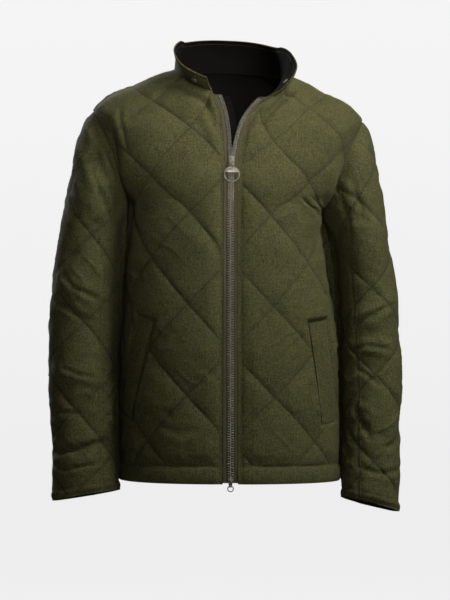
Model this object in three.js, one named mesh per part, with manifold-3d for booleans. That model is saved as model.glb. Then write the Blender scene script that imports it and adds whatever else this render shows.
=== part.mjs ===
// A quilted jacket as it is worn, with nobody in it: millimetres, +Z up, front facing -Y.
// The origin is the middle of the neck at the height of the shoulder's highest points.
// Wearer's right is -X and wearer's left is +X. Cloth walls are built from cross-section tables.
import * as THREE from "three";
import { mergeVertices } from "three/addons/utils/BufferGeometryUtils.js";
import Module from "manifold-3d";

const wasm = await Module();
wasm.setup();

// Driving dimensions
const ARMPIT_GIRTH = 475; // cloth height from the hem to the armpit
const QUARTER_CLOTH = 262.5; // flat width of a quarter of the body, centre to side seam
const HALF_DIAMOND_ACROSS = 71; // half the width of a quilted diamond
const HALF_DIAMOND_UP = 77; // half its height
const BODY_CROSSING_UP = 148; // height above the hem of the lowest crossing off the centre front
const CELLS = 4; // mesh cells in half a diamond
const PUFF = 7; // how far padding rises above the stitch lines
const PUFF_ROUNDNESS = 0.5; // power that turns the diamond's sine hill into a full pillow
const CLOTH = 3; // wall thickness along a stitch line: two cloths and flattened padding
const SEAM_INSET = 0.2; // each piece stops this far short of a seam, so two are over 0.3 apart
const SEAM_FLAT = 24; // padding reaches its full rise this far from a seam
const HEM_TURN = 30; // height of the stitch line above the hem
const HEM_ROLL = 5; // rise of the rolled hem below that line
const SHOULDER_TILT = 0.036; // the wearer's left shoulder hangs lower: fall for each mm across
const TILT_STARTS_Z = -820; // the tilt grows from here
const TILT_FULL_Z = -330; // and is whole from here up
const NECK_LEAN = 6; // how far the neck leans to the wearer's left
const LEAN_STARTS_Z = -260;
const SIDE_SHIFT = 7; // the lower body's sides hang to the wearer's left, its centre does not
const SIDE_SHIFT_FULL_Z = -430;
const SIDE_SHIFT_ENDS_Z = -260;
const SIDE_ROUNDNESS = 2.35; // power of the body's superellipse sections

// Zip and the open neck
const ZIP_EDGE = 12.5; // the front's cloth edge lies this far from the zip's middle
const TAPE_HIDDEN = 3.5; // tape that runs on under the cloth
const TAPE_THICK = 1;
const TEETH_HALF = 4.6; // half the width of the closed chain
const TEETH_THICK = 2.6;
const SLIDER_UP = 589; // cloth height of the top slider above the hem
const OPEN_FROM = 592; // the two fronts part above this cloth height
const OPENING = {
  right: { spread: 22, forward: 15, fall: 2 },
  left: { spread: 52, forward: 32, fall: 9 },
};
const OPEN_REACH = 128; // cloth width over which the opening dies away

// Body sections. up: cloth height above the hem. side_z and half_width: the ring's outermost point.
// front and back: depth either way. front_drop and back_drop: how far the middle hangs below side_z.
const BODY = [
  { up: 0, side_z: -694, half_width: 187, front: 147, back: 141, front_drop: 0, back_drop: 0 },
  { up: 75, side_z: -620, half_width: 187, front: 148, back: 141, front_drop: 0, back_drop: 0 },
  { up: 175, side_z: -521, half_width: 185, front: 149, back: 140, front_drop: 0, back_drop: 0 },
  { up: 275, side_z: -422, half_width: 180, front: 149, back: 139, front_drop: 0, back_drop: 0 },
  { up: 375, side_z: -323, half_width: 171, front: 148, back: 140, front_drop: 0, back_drop: 0 },
  { up: 475, side_z: -225, half_width: 166, front: 147, back: 142, front_drop: 0, back_drop: 0 },
  { up: 514, side_z: -188, half_width: 188, front: 147, back: 141, front_drop: 15, back_drop: -1 },
  { up: 552, side_z: -149, half_width: 207, front: 145, back: 138, front_drop: 30, back_drop: 2 },
  { up: 591, side_z: -109, half_width: 221, front: 140, back: 132, front_drop: 45, back_drop: 7 },
  { up: 610, side_z: -89, half_width: 226, front: 137, back: 128, front_drop: 52, back_drop: 10 },
  { up: 629, side_z: -70, half_width: 228, front: 133, back: 124, front_drop: 58, back_drop: 13 },
  { up: 648, side_z: -55, half_width: 212, front: 128, back: 119, front_drop: 60, back_drop: 12 },
  { up: 667, side_z: -41, half_width: 192, front: 122, back: 112, front_drop: 60, back_drop: 11 },
  { up: 706, side_z: -22, half_width: 150, front: 109, back: 97, front_drop: 51, back_drop: 2 },
  { up: 744, side_z: -4, half_width: 110, front: 92, back: 81, front_drop: 43, back_drop: -6 },
  { up: 764, side_z: 5, half_width: 92, front: 82, back: 72, front_drop: 38, back_drop: -11 },
];
const SHOULDER_UP = 629; // cloth height of the row that ends at the shoulder point
const NECK_UP = 764; // cloth height of the neck seam's row
const ARMHOLE_FRONT = 66; // how far the armhole is cut into the front
const ARMHOLE_BACK = 70; // and into the back

// Sleeve sections by height. inner_x and outer_x: the two sides seen from the front.
const SLEEVE = [
  { z: -60, inner_x: 160, outer_x: 228, half_depth: 44, centre_y: 2 },
  { z: -95, inner_x: 154, outer_x: 239, half_depth: 58, centre_y: 2 },
  { z: -145, inner_x: 156, outer_x: 253, half_depth: 70, centre_y: 3 },
  { z: -190, inner_x: 164, outer_x: 264, half_depth: 76, centre_y: 4 },
  { z: -240, inner_x: 177, outer_x: 273, half_depth: 77, centre_y: 5 },
  { z: -335, inner_x: 188, outer_x: 288, half_depth: 73, centre_y: 6 },
  { z: -430, inner_x: 192, outer_x: 297, half_depth: 66, centre_y: 2 },
  { z: -525, inner_x: 193, outer_x: 299, half_depth: 60, centre_y: -10 },
  { z: -620, inner_x: 192, outer_x: 294, half_depth: 54, centre_y: -24 },
  { z: -700, inner_x: 190, outer_x: 293, half_depth: 47, centre_y: -36 },
  { z: -750, inner_x: 186, outer_x: 293, half_depth: 43, centre_y: -42 },
];
const SLEEVE_SIDE = {
  right: { sign: -1, inner: -6, outer: 1, crossing_z: -286 },
  left: { sign: 1, inner: 9, outer: 1, crossing_z: -357 },
};
const SLEEVE_ROUNDNESS = 2.15;
const CUFF_Z = -727; // height of the cuff's middle
const CUFF_TILT = 11; // its outer side hangs this much lower
const CUFF_LIFT = 5; // its front is this much higher
const CAP_FULL = 7; // outward fullness of the sleeve's cap, over this length below the armhole
const CAP_FULL_LENGTH = 90;
const CAP_BLEND = 75; // length over which the armhole turns into the sleeve's own sections
const HALF_DIAMOND_SLEEVE = 74; // half a diamond's height on a sleeve
const ARM_PRESS = 0.3; // share of the padding's rise that is left where arm and body press

// Collar: lean is the angle outward from upright and turn swings that direction to the wearer's
// left, along the collar from its right front end (at 0) round the back to the left one (at 1).
const COLLAR = [
  { at: 0, height: 34, lean: 58, turn: 0 },
  { at: 0.06, height: 44, lean: 50, turn: 0 },
  { at: 0.12, height: 48, lean: 26, turn: 0 },
  { at: 0.17, height: 50, lean: 0, turn: 0 },
  { at: 0.22, height: 50, lean: -12, turn: 0 },
  { at: 0.27, height: 50, lean: -14, turn: 0 },
  { at: 0.38, height: 50, lean: -14, turn: 0 },
  { at: 0.5, height: 50, lean: -10, turn: 0 },
  { at: 0.62, height: 50, lean: -8, turn: 0 },
  { at: 0.73, height: 47, lean: -6, turn: 0 },
  { at: 0.8, height: 45, lean: 2, turn: 0 },
  { at: 0.87, height: 45, lean: 20, turn: 14 },
  { at: 0.93, height: 46, lean: 40, turn: 30 },
  { at: 1, height: 38, lean: 54, turn: 40 },
];
const COLLAR_ROWS = 3;
const COLLAR_CLOTH = 2.4;
const FACING_CLOTH = 1.8;
const FACING_GAP = 0.35;
const COLLAR_BOW = 3; // outward bow of the collar halfway up
const SNAP_SHARE = 0.55; // height of the press studs on the collar, as a share
const SNAP_FROM_END = 21; // and their distance from its front ends
const SNAP_RADIUS = 5;
const SNAP_RISE = 2.2;

// Pocket welts, given by their front edge on the front's flat cloth
const WELTS = {
  right: { top_across: 131, top_up: 270, bottom_across: 181, bottom_up: 106 },
  left: { top_across: 134, top_up: 276, bottom_across: 159, bottom_up: 102 },
};
const WELT_WIDTH = 42;
const WELT_THICK = 3;
const WELT_CELLS_LONG = 10;
const WELT_CELLS_WIDE = 4;
const WELT_BOW = 1.6; // how far the welt's middle stands out
const WELT_CLEAR = 0.9; // gap between the panel and the welt
const WELT_MARGIN = 20; // the panel's padding is flat this far beyond the welt

// Storm flap behind the zip's right edge, only where the open neck shows it
const FLAP = { from_up: 560, inner: -16, outer: 20, depth: 4.75, thick: 1.6 };

// Largest folds. across and up are the flat cloth's own coordinates in mm, lift is outward.
const BODY_FOLDS = [
  { piece: "front_right", across_a: 226, up_a: 640, across_b: 212, up_b: 560, width: 13, lift: -5 },
  { piece: "front_right", across_a: 204, up_a: 640, across_b: 196, up_b: 575, width: 14, lift: 4 },
  { piece: "front_right", across_a: 214, up_a: 500, across_b: 232, up_b: 380, width: 26, lift: -6 },
  { piece: "front_left", across_a: 196, up_a: 560, across_b: 206, up_b: 470, width: 14, lift: 5 },
  { piece: "front_left", across_a: 170, up_a: 500, across_b: 190, up_b: 440, width: 12, lift: 4 },
  { piece: "front_left", across_a: 224, up_a: 500, across_b: 236, up_b: 330, width: 24, lift: -6 },
  { piece: "front_left", across_a: 60, up_a: 742, across_b: 100, up_b: 700, width: 16, lift: -7 },
  { piece: "back", across_a: 190, up_a: 560, across_b: 215, up_b: 430, width: 20, lift: 5 },
  { piece: "back", across_a: -190, up_a: 560, across_b: -215, up_b: 430, width: 20, lift: 5 },
  { piece: "back", across_a: -60, up_a: 120, across_b: 70, up_b: 150, width: 22, lift: -4 },
];
// across is measured round the sleeve from its front line, outward; up is height.
const SLEEVE_FOLDS = [
  { side: "right", across_a: 62, up_a: -95, across_b: -22, up_b: -185, width: 11, lift: 5 },
  { side: "right", across_a: 70, up_a: -130, across_b: -14, up_b: -215, width: 11, lift: 5 },
  { side: "right", across_a: 74, up_a: -165, across_b: -5, up_b: -250, width: 12, lift: 4 },
  { side: "right", across_a: 50, up_a: -365, across_b: -40, up_b: -395, width: 12, lift: 4 },
  { side: "right", across_a: 50, up_a: -512, across_b: -40, up_b: -535, width: 12, lift: 4 },
  { side: "right", across_a: 60, up_a: -655, across_b: -50, up_b: -636, width: 11, lift: -5 },
  { side: "left", across_a: 40, up_a: -120, across_b: -40, up_b: -225, width: 12, lift: 4 },
  { side: "left", across_a: 58, up_a: -372, across_b: -30, up_b: -412, width: 12, lift: 4 },
  { side: "left", across_a: 30, up_a: -462, across_b: -55, up_b: -458, width: 12, lift: 4 },
  { side: "left", across_a: 30, up_a: -620, across_b: -45, up_b: -585, width: 11, lift: -4 },
];

const COLOURS = {
  shell: 0x4b4a31,
  facing: 0x17120f,
  tape: 0x4a4433,
  brass: 0x8f8468,
};

const smooth = (a, b, x) => {
  const s = Math.min(1, Math.max(0, (x - a) / (b - a)));
  return s * s * (3 - 2 * s);
};
const lerp = (a, b, s) => a + (b - a) * s;

// A table's row at any value of its key, on Catmull-Rom curves through the rows.
function rowAt(table, key, value) {
  const rising = table[1][key] > table[0][key];
  let i = 0;
  while (i < table.length - 2 && (rising ? value > table[i + 1][key] : value < table[i + 1][key])) i++;
  const [b, c] = [table[i], table[i + 1]];
  const [a, d] = [table[i - 1] ?? b, table[i + 2] ?? c];
  const s = Math.min(1, Math.max(0, (value - b[key]) / (c[key] - b[key])));
  const span = c[key] - b[key];
  const row = {};
  for (const name of Object.keys(b)) {
    const slopeB = ((c[name] - a[name]) / (c[key] - a[key])) * span;
    const slopeC = ((d[name] - b[name]) / (d[key] - b[key])) * span;
    const s2 = s * s;
    const s3 = s2 * s;
    row[name] =
      (2 * s3 - 3 * s2 + 1) * b[name] +
      (s3 - 2 * s2 + s) * slopeB +
      (3 * s2 - 2 * s3) * c[name] +
      (s3 - s2) * slopeC;
  }
  return row;
}

// A quarter of a superellipse from (0, depth) to (width, 0), measured by its length.
const QUARTER_STEPS = 64;
function quarter(width, depth, roundness) {
  const points = [];
  let length = 0;
  for (let i = 0; i <= QUARTER_STEPS; i++) {
    const angle = (i / QUARTER_STEPS) * (Math.PI / 2);
    const x = width * Math.sin(angle) ** (2 / roundness);
    const y = depth * Math.max(0, Math.cos(angle)) ** (2 / roundness);
    if (i) length += Math.hypot(x - points[i - 1].x, y - points[i - 1].y);
    points.push({ x, y, length });
  }
  const at = (distance) => {
    const d = Math.min(length, Math.max(0, distance));
    let i = 1;
    while (i < QUARTER_STEPS && points[i].length < d) i++;
    const [a, b] = [points[i - 1], points[i]];
    const s = (d - a.length) / (b.length - a.length || 1);
    return { x: lerp(a.x, b.x, s), y: lerp(a.y, b.y, s) };
  };
  return { length, at };
}

const rings = new Map();
function ringAt(up) {
  if (!rings.has(up)) {
    const row = rowAt(BODY, "up", up);
    rings.set(up, {
      row,
      front: quarter(row.half_width, row.front, SIDE_ROUNDNESS),
      back: quarter(row.half_width, row.back, SIDE_ROUNDNESS),
    });
  }
  return rings.get(up);
}

// Length on the ring for one mm of flat cloth: the lower body is eased to its sections.
function easeAt(up, face) {
  return ringAt(Math.min(up, ARMPIT_GIRTH))[face].length / QUARTER_CLOTH;
}

// The flat cloth's edge at a height: the side seam, the armhole or the shoulder seam.
function clothEdge(up, face) {
  const full = ringAt(up)[face].length;
  const share = (up - ARMPIT_GIRTH) / (SHOULDER_UP - ARMPIT_GIRTH);
  const cut = face === "front" ? ARMHOLE_FRONT : ARMHOLE_BACK;
  const inset = share > 0 && share < 1 ? cut * (4 * share * (1 - share)) ** 0.55 : 0;
  return (full - inset) / easeAt(up, face);
}

function posture(point, tiltShare) {
  const tilt = tiltShare ?? smooth(TILT_STARTS_Z, TILT_FULL_Z, point.z);
  const shift = tiltShare ? 0 : SIDE_SHIFT * (1 - smooth(SIDE_SHIFT_FULL_Z, SIDE_SHIFT_ENDS_Z, point.z));
  const lean = NECK_LEAN * smooth(LEAN_STARTS_Z, 0, point.z) + shift * Math.min(1, (point.x / 180) ** 2);
  return point.set(point.x + lean, point.y, point.z - SHOULDER_TILT * point.x * tilt);
}

// The body's surface along its stitch lines. across: flat cloth from the centre line, on one side.
function bodyPoint(up, across, face, side) {
  const ring = ringAt(up);
  const flat = ring[face].at(Math.abs(across) * easeAt(up, face));
  const depth = face === "front" ? -flat.y : flat.y;
  const drop = face === "front" ? ring.row.front_drop : ring.row.back_drop;
  const fall = drop * (flat.y / ring.row[face]) ** SIDE_ROUNDNESS;
  const x = (across < 0 ? -1 : 1) * side * flat.x;
  const point = new THREE.Vector3(x, depth, ring.row.side_z - fall);
  if (face === "front" && up > OPEN_FROM) {
    const rise = (up - OPEN_FROM) / (NECK_UP - OPEN_FROM);
    const grown = 0.25 * rise + 0.75 * rise ** 3;
    const left = Math.min(1, Math.max(0, 1 - (across - ZIP_EDGE) / OPEN_REACH));
    const open = OPENING[side < 0 ? "right" : "left"];
    point.x += side * open.spread * grown * left ** 1.5;
    point.y -= open.forward * grown * left ** 1.5;
    point.z -= open.fall * grown * left ** 1.5;
  }
  return posture(point);
}

const STEP = 0.5; // distance over which slopes are taken
function bodyNormal(up, across, face, side) {
  const higher = Math.min(NECK_UP, up + STEP);
  const lower = Math.max(0, up - STEP);
  const edge = ringAt(up)[face].length / easeAt(up, face);
  const far = Math.min(edge, across + STEP);
  const near = Math.min(edge - STEP, across - STEP);
  const rise = bodyPoint(higher, across, face, side).sub(bodyPoint(lower, across, face, side));
  const run = bodyPoint(up, far, face, side).sub(bodyPoint(up, near, face, side));
  const normal = run.cross(rise).normalize();
  const inside = bodyPoint(up, across, face, side).sub(new THREE.Vector3(0, 0, -150));
  inside.z = Math.max(0, inside.z);
  return normal.dot(inside) < 0 ? normal.negate() : normal;
}

// Rise of the padding, from 0 on a stitch line to 1 in the middle of a diamond.
function quilt(across, up, halfUp, crossingUp) {
  const a = across / HALF_DIAMOND_ACROSS;
  const b = (up - crossingUp) / halfUp;
  const ridge = Math.cos((Math.PI * (a + b)) / 2) * Math.cos((Math.PI * (a - b)) / 2);
  return Math.abs(ridge) ** PUFF_ROUNDNESS;
}

function foldLift(folds, across, up) {
  let lift = 0;
  for (const fold of folds) {
    const [dx, dy] = [fold.across_b - fold.across_a, fold.up_b - fold.up_a];
    const [ex, ey] = [across - fold.across_a, up - fold.up_a];
    const along = (ex * dx + ey * dy) / (dx * dx + dy * dy);
    const off = Math.abs(ex * dy - ey * dx) / Math.hypot(dx, dy);
    const ends = smooth(-0.25, 0.25, along) * (1 - smooth(0.75, 1.25, along));
    lift += fold.lift * Math.exp(-((off / fold.width) ** 2)) * ends;
  }
  return lift;
}

// A pocket welt's own directions on the flat cloth: down its length, and outward across it.
function weltAxes(welt) {
  const across = welt.bottom_across - welt.top_across;
  const up = welt.bottom_up - welt.top_up;
  const length = Math.hypot(across, up);
  return { length, down: [across / length, up / length], out: [-up / length, across / length] };
}

// How far a point of the flat cloth is covered by the welt: 1 up to a margin beyond it, then fading.
function weltCover(across, up, welt) {
  const { length, down, out } = weltAxes(welt);
  const [dx, dy] = [across - welt.top_across, up - welt.top_up];
  const along = dx * down[0] + dy * down[1];
  const off = dx * out[0] + dy * out[1];
  const fade = (value, size) => {
    const beyond = Math.max(-value, value - size);
    return 1 - smooth(WELT_MARGIN, WELT_MARGIN + 12, beyond);
  };
  return fade(along, length) * fade(off, WELT_WIDTH);
}

// Turns a grid of { outer, inner } points into one closed wall. The outer side is whole, the inner
// side takes every second row and column (or all of them), and four rims join them.
function wallGeometry(grid, innerStep = 2) {
  const rows = grid.length - 1;
  const columns = grid[0].length - 1;
  const positions = [];
  const put = (point) => positions.push(point.x, point.y, point.z) / 3 - 1;
  const outer = grid.map((row) => row.map((cell) => put(cell.outer)));
  const inner = grid.map((row) => row.map((cell) => put(cell.inner)));
  const index = [];
  for (let j = 0; j < rows; j++)
    for (let i = 0; i < columns; i++) {
      const [a, b, c, d] = [outer[j][i], outer[j][i + 1], outer[j + 1][i + 1], outer[j + 1][i]];
      const [p, q, r, s] = [grid[j][i], grid[j][i + 1], grid[j + 1][i + 1], grid[j + 1][i]];
      const shear = p.outer.distanceTo(r.outer) / q.outer.distanceTo(s.outer);
      const even = shear > 0.77 && shear < 1.3;
      const plain = innerStep === 1;
      if (plain || (even ? p.puff + r.puff <= q.puff + s.puff : shear < 1)) index.push(a, b, c, a, c, d);
      else index.push(a, b, d, b, c, d);
    }
  const steps = (count) => {
    const list = [];
    for (let i = 0; i < count; i += innerStep) list.push(i);
    list.push(count);
    return list;
  };
  const [rowSteps, columnSteps] = [steps(rows), steps(columns)];
  for (let n = 0; n < rowSteps.length - 1; n++)
    for (let m = 0; m < columnSteps.length - 1; m++) {
      const [j0, j1, i0, i1] = [rowSteps[n], rowSteps[n + 1], columnSteps[m], columnSteps[m + 1]];
      const loop = [inner[j0][i0]];
      const middles = [];
      const side = (onRim, long, pick) => {
        if (onRim && long > 1) {
          middles.push(loop.length);
          loop.push(pick());
        }
      };
      side(j0 === 0, i1 - i0, () => inner[j0][i0 + 1]);
      loop.push(inner[j0][i1]);
      side(i1 === columns, j1 - j0, () => inner[j0 + 1][i1]);
      loop.push(inner[j1][i1]);
      side(j1 === rows, i1 - i0, () => inner[j1][i0 + 1]);
      loop.push(inner[j1][i0]);
      side(i0 === 0, j1 - j0, () => inner[j0 + 1][i0]);
      const start = middles[0] ?? 0;
      for (let k = 1; k < loop.length - 1; k++)
        index.push(
          loop[start],
          loop[(start + k + 1) % loop.length],
          loop[(start + k) % loop.length],
        );
    }
  const order = (id) => positions[3 * id] + 1.7 * positions[3 * id + 1] + 2.3 * positions[3 * id + 2];
  const rim = (ring) => {
    for (let k = 0; k < ring.length - 1; k++) {
      const [[oa, ia], [ob, ib]] = [ring[k], ring[k + 1]];
      if (order(oa) < order(ob)) index.push(oa, ib, ob, oa, ia, ib);
      else index.push(oa, ia, ob, ob, ia, ib);
    }
  };
  const pairs = (cells) => cells.map(([j, i]) => [outer[j][i], inner[j][i]]);
  const upTo = (n) => [...Array(n + 1).keys()];
  rim(pairs(upTo(columns).map((i) => [0, i])));
  rim(pairs(upTo(rows).map((j) => [j, columns])));
  rim(pairs(upTo(columns).map((i) => [rows, columns - i])));
  rim(pairs(upTo(rows).map((j) => [rows - j, 0])));
  return closed(positions, index);
}

// A geometry whose faces point out, whichever way its grid ran.
function closed(positions, index) {
  let volume = 0;
  const corner = (k) => new THREE.Vector3().fromArray(positions, 3 * index[k]);
  for (let k = 0; k < index.length; k += 3)
    volume += corner(k).dot(corner(k + 1).cross(corner(k + 2)));
  const faces = volume < 0 ? index.map((_, k) => index[k - (k % 3) + [0, 2, 1][k % 3]]) : index;
  return new THREE.BufferGeometry()
    .setAttribute("position", new THREE.Float32BufferAttribute(positions, 3))
    .setIndex(faces);
}

// Moves the points on a grid's rim a little towards its inside, so that two pieces never touch.
function insetRim(grid, distance = SEAM_INSET) {
  grid.forEach((row) => row.forEach((cell) => (cell.seam = cell.base.clone())));
  const rows = grid.length - 1;
  const columns = grid[0].length - 1;
  const moved = grid.map((row) => row.map((cell) => cell.base.clone()));
  const pull = (j, i, dj, di) => {
    const way = grid[j + dj][i + di].base.clone().sub(grid[j][i].base).normalize();
    moved[j][i].addScaledVector(way, distance);
  };
  for (let i = 0; i <= columns; i++) {
    pull(0, i, 1, 0);
    pull(rows, i, -1, 0);
  }
  for (let j = 0; j <= rows; j++) {
    pull(j, 0, 0, 1);
    pull(j, columns, 0, -1);
  }
  grid.forEach((row, j) => row.forEach((cell, i) => (cell.base = moved[j][i])));
  return grid;
}

// Gives each point of a grid its outer and inner surface points.
function thicken(grid, thickness = CLOTH) {
  for (const row of grid)
    for (const cell of row) {
      const wall = cell.thickness ?? thickness;
      cell.outer = cell.base.clone().addScaledVector(cell.normal, cell.puff);
      cell.inner = cell.base.clone().addScaledVector(cell.rimNormal ?? cell.normal, -wall);
    }
  return grid;
}

const group = new THREE.Group();
function addMesh(name, geometry, colour, metal = 0) {
  const material = new THREE.MeshStandardMaterial({
    color: colour,
    roughness: metal ? 0.4 : 0.85,
    metalness: metal,
  });
  const mesh = new THREE.Mesh(geometry, material);
  mesh.name = name;
  group.add(mesh);
  return mesh;
}

// Heights of the body's grid rows: on the diamonds below the armpit, then armhole, then shoulder.
const CELL_UP = HALF_DIAMOND_UP / CELLS;
const ARMHOLE_ROWS = 3 * CELLS;
const SHOULDER_ROWS = Math.round(1.75 * CELLS);
function bodyRows() {
  const rows = [0];
  const first = BODY_CROSSING_UP % CELL_UP;
  for (let up = first; up < ARMPIT_GIRTH - 1; up += CELL_UP) if (up > 6) rows.push(up);
  const hem = rows.reduce((best, up, k) =>
    Math.abs(up - HEM_TURN) < Math.abs(rows[best] - HEM_TURN) ? k : best, 0);
  rows[hem] = HEM_TURN;
  if (ARMPIT_GIRTH - rows.at(-1) < CELL_UP / 3) rows.pop();
  for (let k = 0; k <= ARMHOLE_ROWS; k++)
    rows.push(lerp(ARMPIT_GIRTH, SHOULDER_UP, k / ARMHOLE_ROWS));
  for (let k = 1; k <= SHOULDER_ROWS; k++) rows.push(lerp(SHOULDER_UP, NECK_UP, k / SHOULDER_ROWS));
  return rows;
}
const BODY_ROWS = bodyRows();
const ARMPIT_ROW = BODY_ROWS.indexOf(ARMPIT_GIRTH);
const SHOULDER_ROW = ARMPIT_ROW + ARMHOLE_ROWS;

// Shares of a quarter's width at which its grid columns stand, on the diamonds' own spacing.
function columnShares(start) {
  const cell = HALF_DIAMOND_ACROSS / CELLS;
  const stops = [start];
  for (let across = cell; across < QUARTER_CLOTH - cell / 4; across += cell)
    if (across > start + cell / 4) stops.push(across);
  stops.push(QUARTER_CLOTH);
  return stops.map((across) => (across - start) / (QUARTER_CLOTH - start));
}

// Flat cloth height of a grid point: the ring's own below the armpit, true length above it.
function measureUp(grid) {
  grid.forEach((row, j) =>
    row.forEach((cell, i) => {
      const below = j > 0 ? grid[j - 1][i] : null;
      cell.up = BODY_ROWS[j] <= ARMPIT_GIRTH ? BODY_ROWS[j] : below.up + cell.base.distanceTo(below.base);
    }),
  );
}

// Padding of the body: none on seams, a roll at the hem, little where the arm presses.
function bodyPuff(cell, name, top) {
  const { across, up, edge } = cell;
  const away = Math.min(edge - Math.abs(across), name === "back" ? SEAM_FLAT : across - ZIP_EDGE - 6, top - up);
  const seam = Math.sqrt(Math.min(1, Math.max(0, away / SEAM_FLAT)));
  if (up <= HEM_TURN) {
    const roll = HEM_ROLL * Math.sqrt(Math.sin((Math.PI * (up / HEM_TURN) * 0.8 + 0.2 * Math.PI)));
    return Math.max(0, roll) * Math.min(1, 0.4 + seam);
  }
  const hem = Math.sqrt(Math.min(1, (up - HEM_TURN) / SEAM_FLAT));
  const fromSide = QUARTER_CLOTH - Math.abs(across);
  const pressed = lerp(lerp(ARM_PRESS, 1, smooth(20, 110, fromSide)), 1, smooth(430, 530, up));
  const welt = name === "back" ? 0 : weltCover(across, up, WELTS[name.replace("front_", "")]);
  return PUFF * quilt(across, up, HALF_DIAMOND_UP, BODY_CROSSING_UP) * Math.min(seam, hem) * pressed * (1 - welt);
}

function bodyPanel(name, face, halves) {
  const folds = BODY_FOLDS.filter((fold) => fold.piece === name);
  const start = face === "front" ? ZIP_EDGE : 0;
  const shares = columnShares(start);
  const grid = BODY_ROWS.map((height) =>
    halves.flatMap(({ side, reversed }, half) => {
      const edge = clothEdge(height, face);
      const list = shares.map((share) => {
        const across = lerp(start, edge, share);
        const base = bodyPoint(height, across, face, side);
        const normal = bodyNormal(height, across, face, side);
        return { base, normal, edge, across: face === "back" ? side * across : across };
      });
      if (reversed) list.reverse();
      return half ? list.slice(1) : list;
    }),
  );
  measureUp(grid);
  const top = grid.at(-1).map((cell) => cell.up);
  for (const row of grid)
    row.forEach((cell, i) => {
      cell.puff = bodyPuff(cell, name, top[i]);
      cell.fromEdge = Math.min(cell.edge - Math.abs(cell.across), top[i] - cell.up);
      const lift = foldLift(folds, cell.across, cell.up) * smooth(0, 20, cell.fromEdge);
      cell.base.addScaledVector(cell.normal, lift);
    });
  return grid;
}

const bodyGrids = {
  front_right: bodyPanel("front_right", "front", [{ side: -1 }]),
  front_left: bodyPanel("front_left", "front", [{ side: 1 }]),
  back: bodyPanel("back", "back", [{ side: -1, reversed: true }, { side: 1 }]),
};

// The armhole as a loop on the body: from the armpit up the front, over, and down the back.
function armhole(sideName) {
  const side = SLEEVE_SIDE[sideName].sign;
  const loop = [];
  const point = (row, face) => {
    const up = BODY_ROWS[row];
    const across = clothEdge(up, face);
    const base = bodyPoint(up, across, face, side);
    const normal = bodyNormal(up, across, face, side);
    const inward = bodyPoint(up, across - 4, face, side).sub(base).normalize();
    return { base, normal, inward };
  };
  for (let k = 0; k <= ARMHOLE_ROWS; k++) loop.push(point(ARMPIT_ROW + k, "front"));
  for (let k = ARMHOLE_ROWS - 1; k > 0; k--) loop.push(point(ARMPIT_ROW + k, "back"));
  // At the armpit and the shoulder point the body runs down, and along the shoulder.
  loop[0].inward = new THREE.Vector3(0, 0, -1);
  const top = loop[ARMHOLE_ROWS];
  top.inward = bodyPoint(BODY_ROWS[SHOULDER_ROW + 1], clothEdge(BODY_ROWS[SHOULDER_ROW + 1], "front"), "front", side)
    .sub(top.base)
    .normalize();
  return loop;
}

// Share of the armhole's half, from armpit to shoulder, at each loop point.
function loopShares(loop) {
  const half = ARMHOLE_ROWS;
  const lengthOf = (from, to) => {
    let total = 0;
    for (let k = from; k < to; k++) total += loop[k].base.distanceTo(loop[(k + 1) % loop.length].base);
    return total;
  };
  return loop.map((_, k) =>
    k <= half ? lengthOf(0, k) / lengthOf(0, half) : 1 + lengthOf(half, k) / lengthOf(half, 2 * half),
  );
}

// A point of the sleeve's own section: turn 0 is the inner side, 0.5 the front, 1 the outer side.
function sleeveSection(z, turn, { sign, inner, outer }) {
  const row = rowAt(SLEEVE, "z", z);
  const grown = smooth(80, 300, -z);
  const innerX = row.inner_x + inner * grown;
  const outerX = row.outer_x + outer * grown;
  const half = (outerX - innerX) / 2;
  const middle = (outerX + innerX) / 2;
  const curve = quarter(half, row.half_depth, SLEEVE_ROUNDNESS);
  const quarterTurn = (turn * 2) % 4;
  const which = Math.floor(quarterTurn);
  const part = quarterTurn - which;
  const at = curve.at(curve.length * (which % 2 ? part : 1 - part));
  const out = which === 1 || which === 2 ? 1 : -1;
  const front = which < 2 ? -1 : 1;
  const point = new THREE.Vector3(sign * (middle + out * at.x), row.centre_y + front * at.y, z);
  return { point, middle, half, row, quarterLength: curve.length };
}

function cuffZ(turn, side) {
  const { point, middle, half, row } = sleeveSection(CUFF_Z, turn, side);
  const outward = (side.sign * point.x - middle) / half;
  const forward = (row.centre_y - point.y) / row.half_depth;
  return CUFF_Z - CUFF_TILT * outward + CUFF_LIFT * forward;
}

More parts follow.
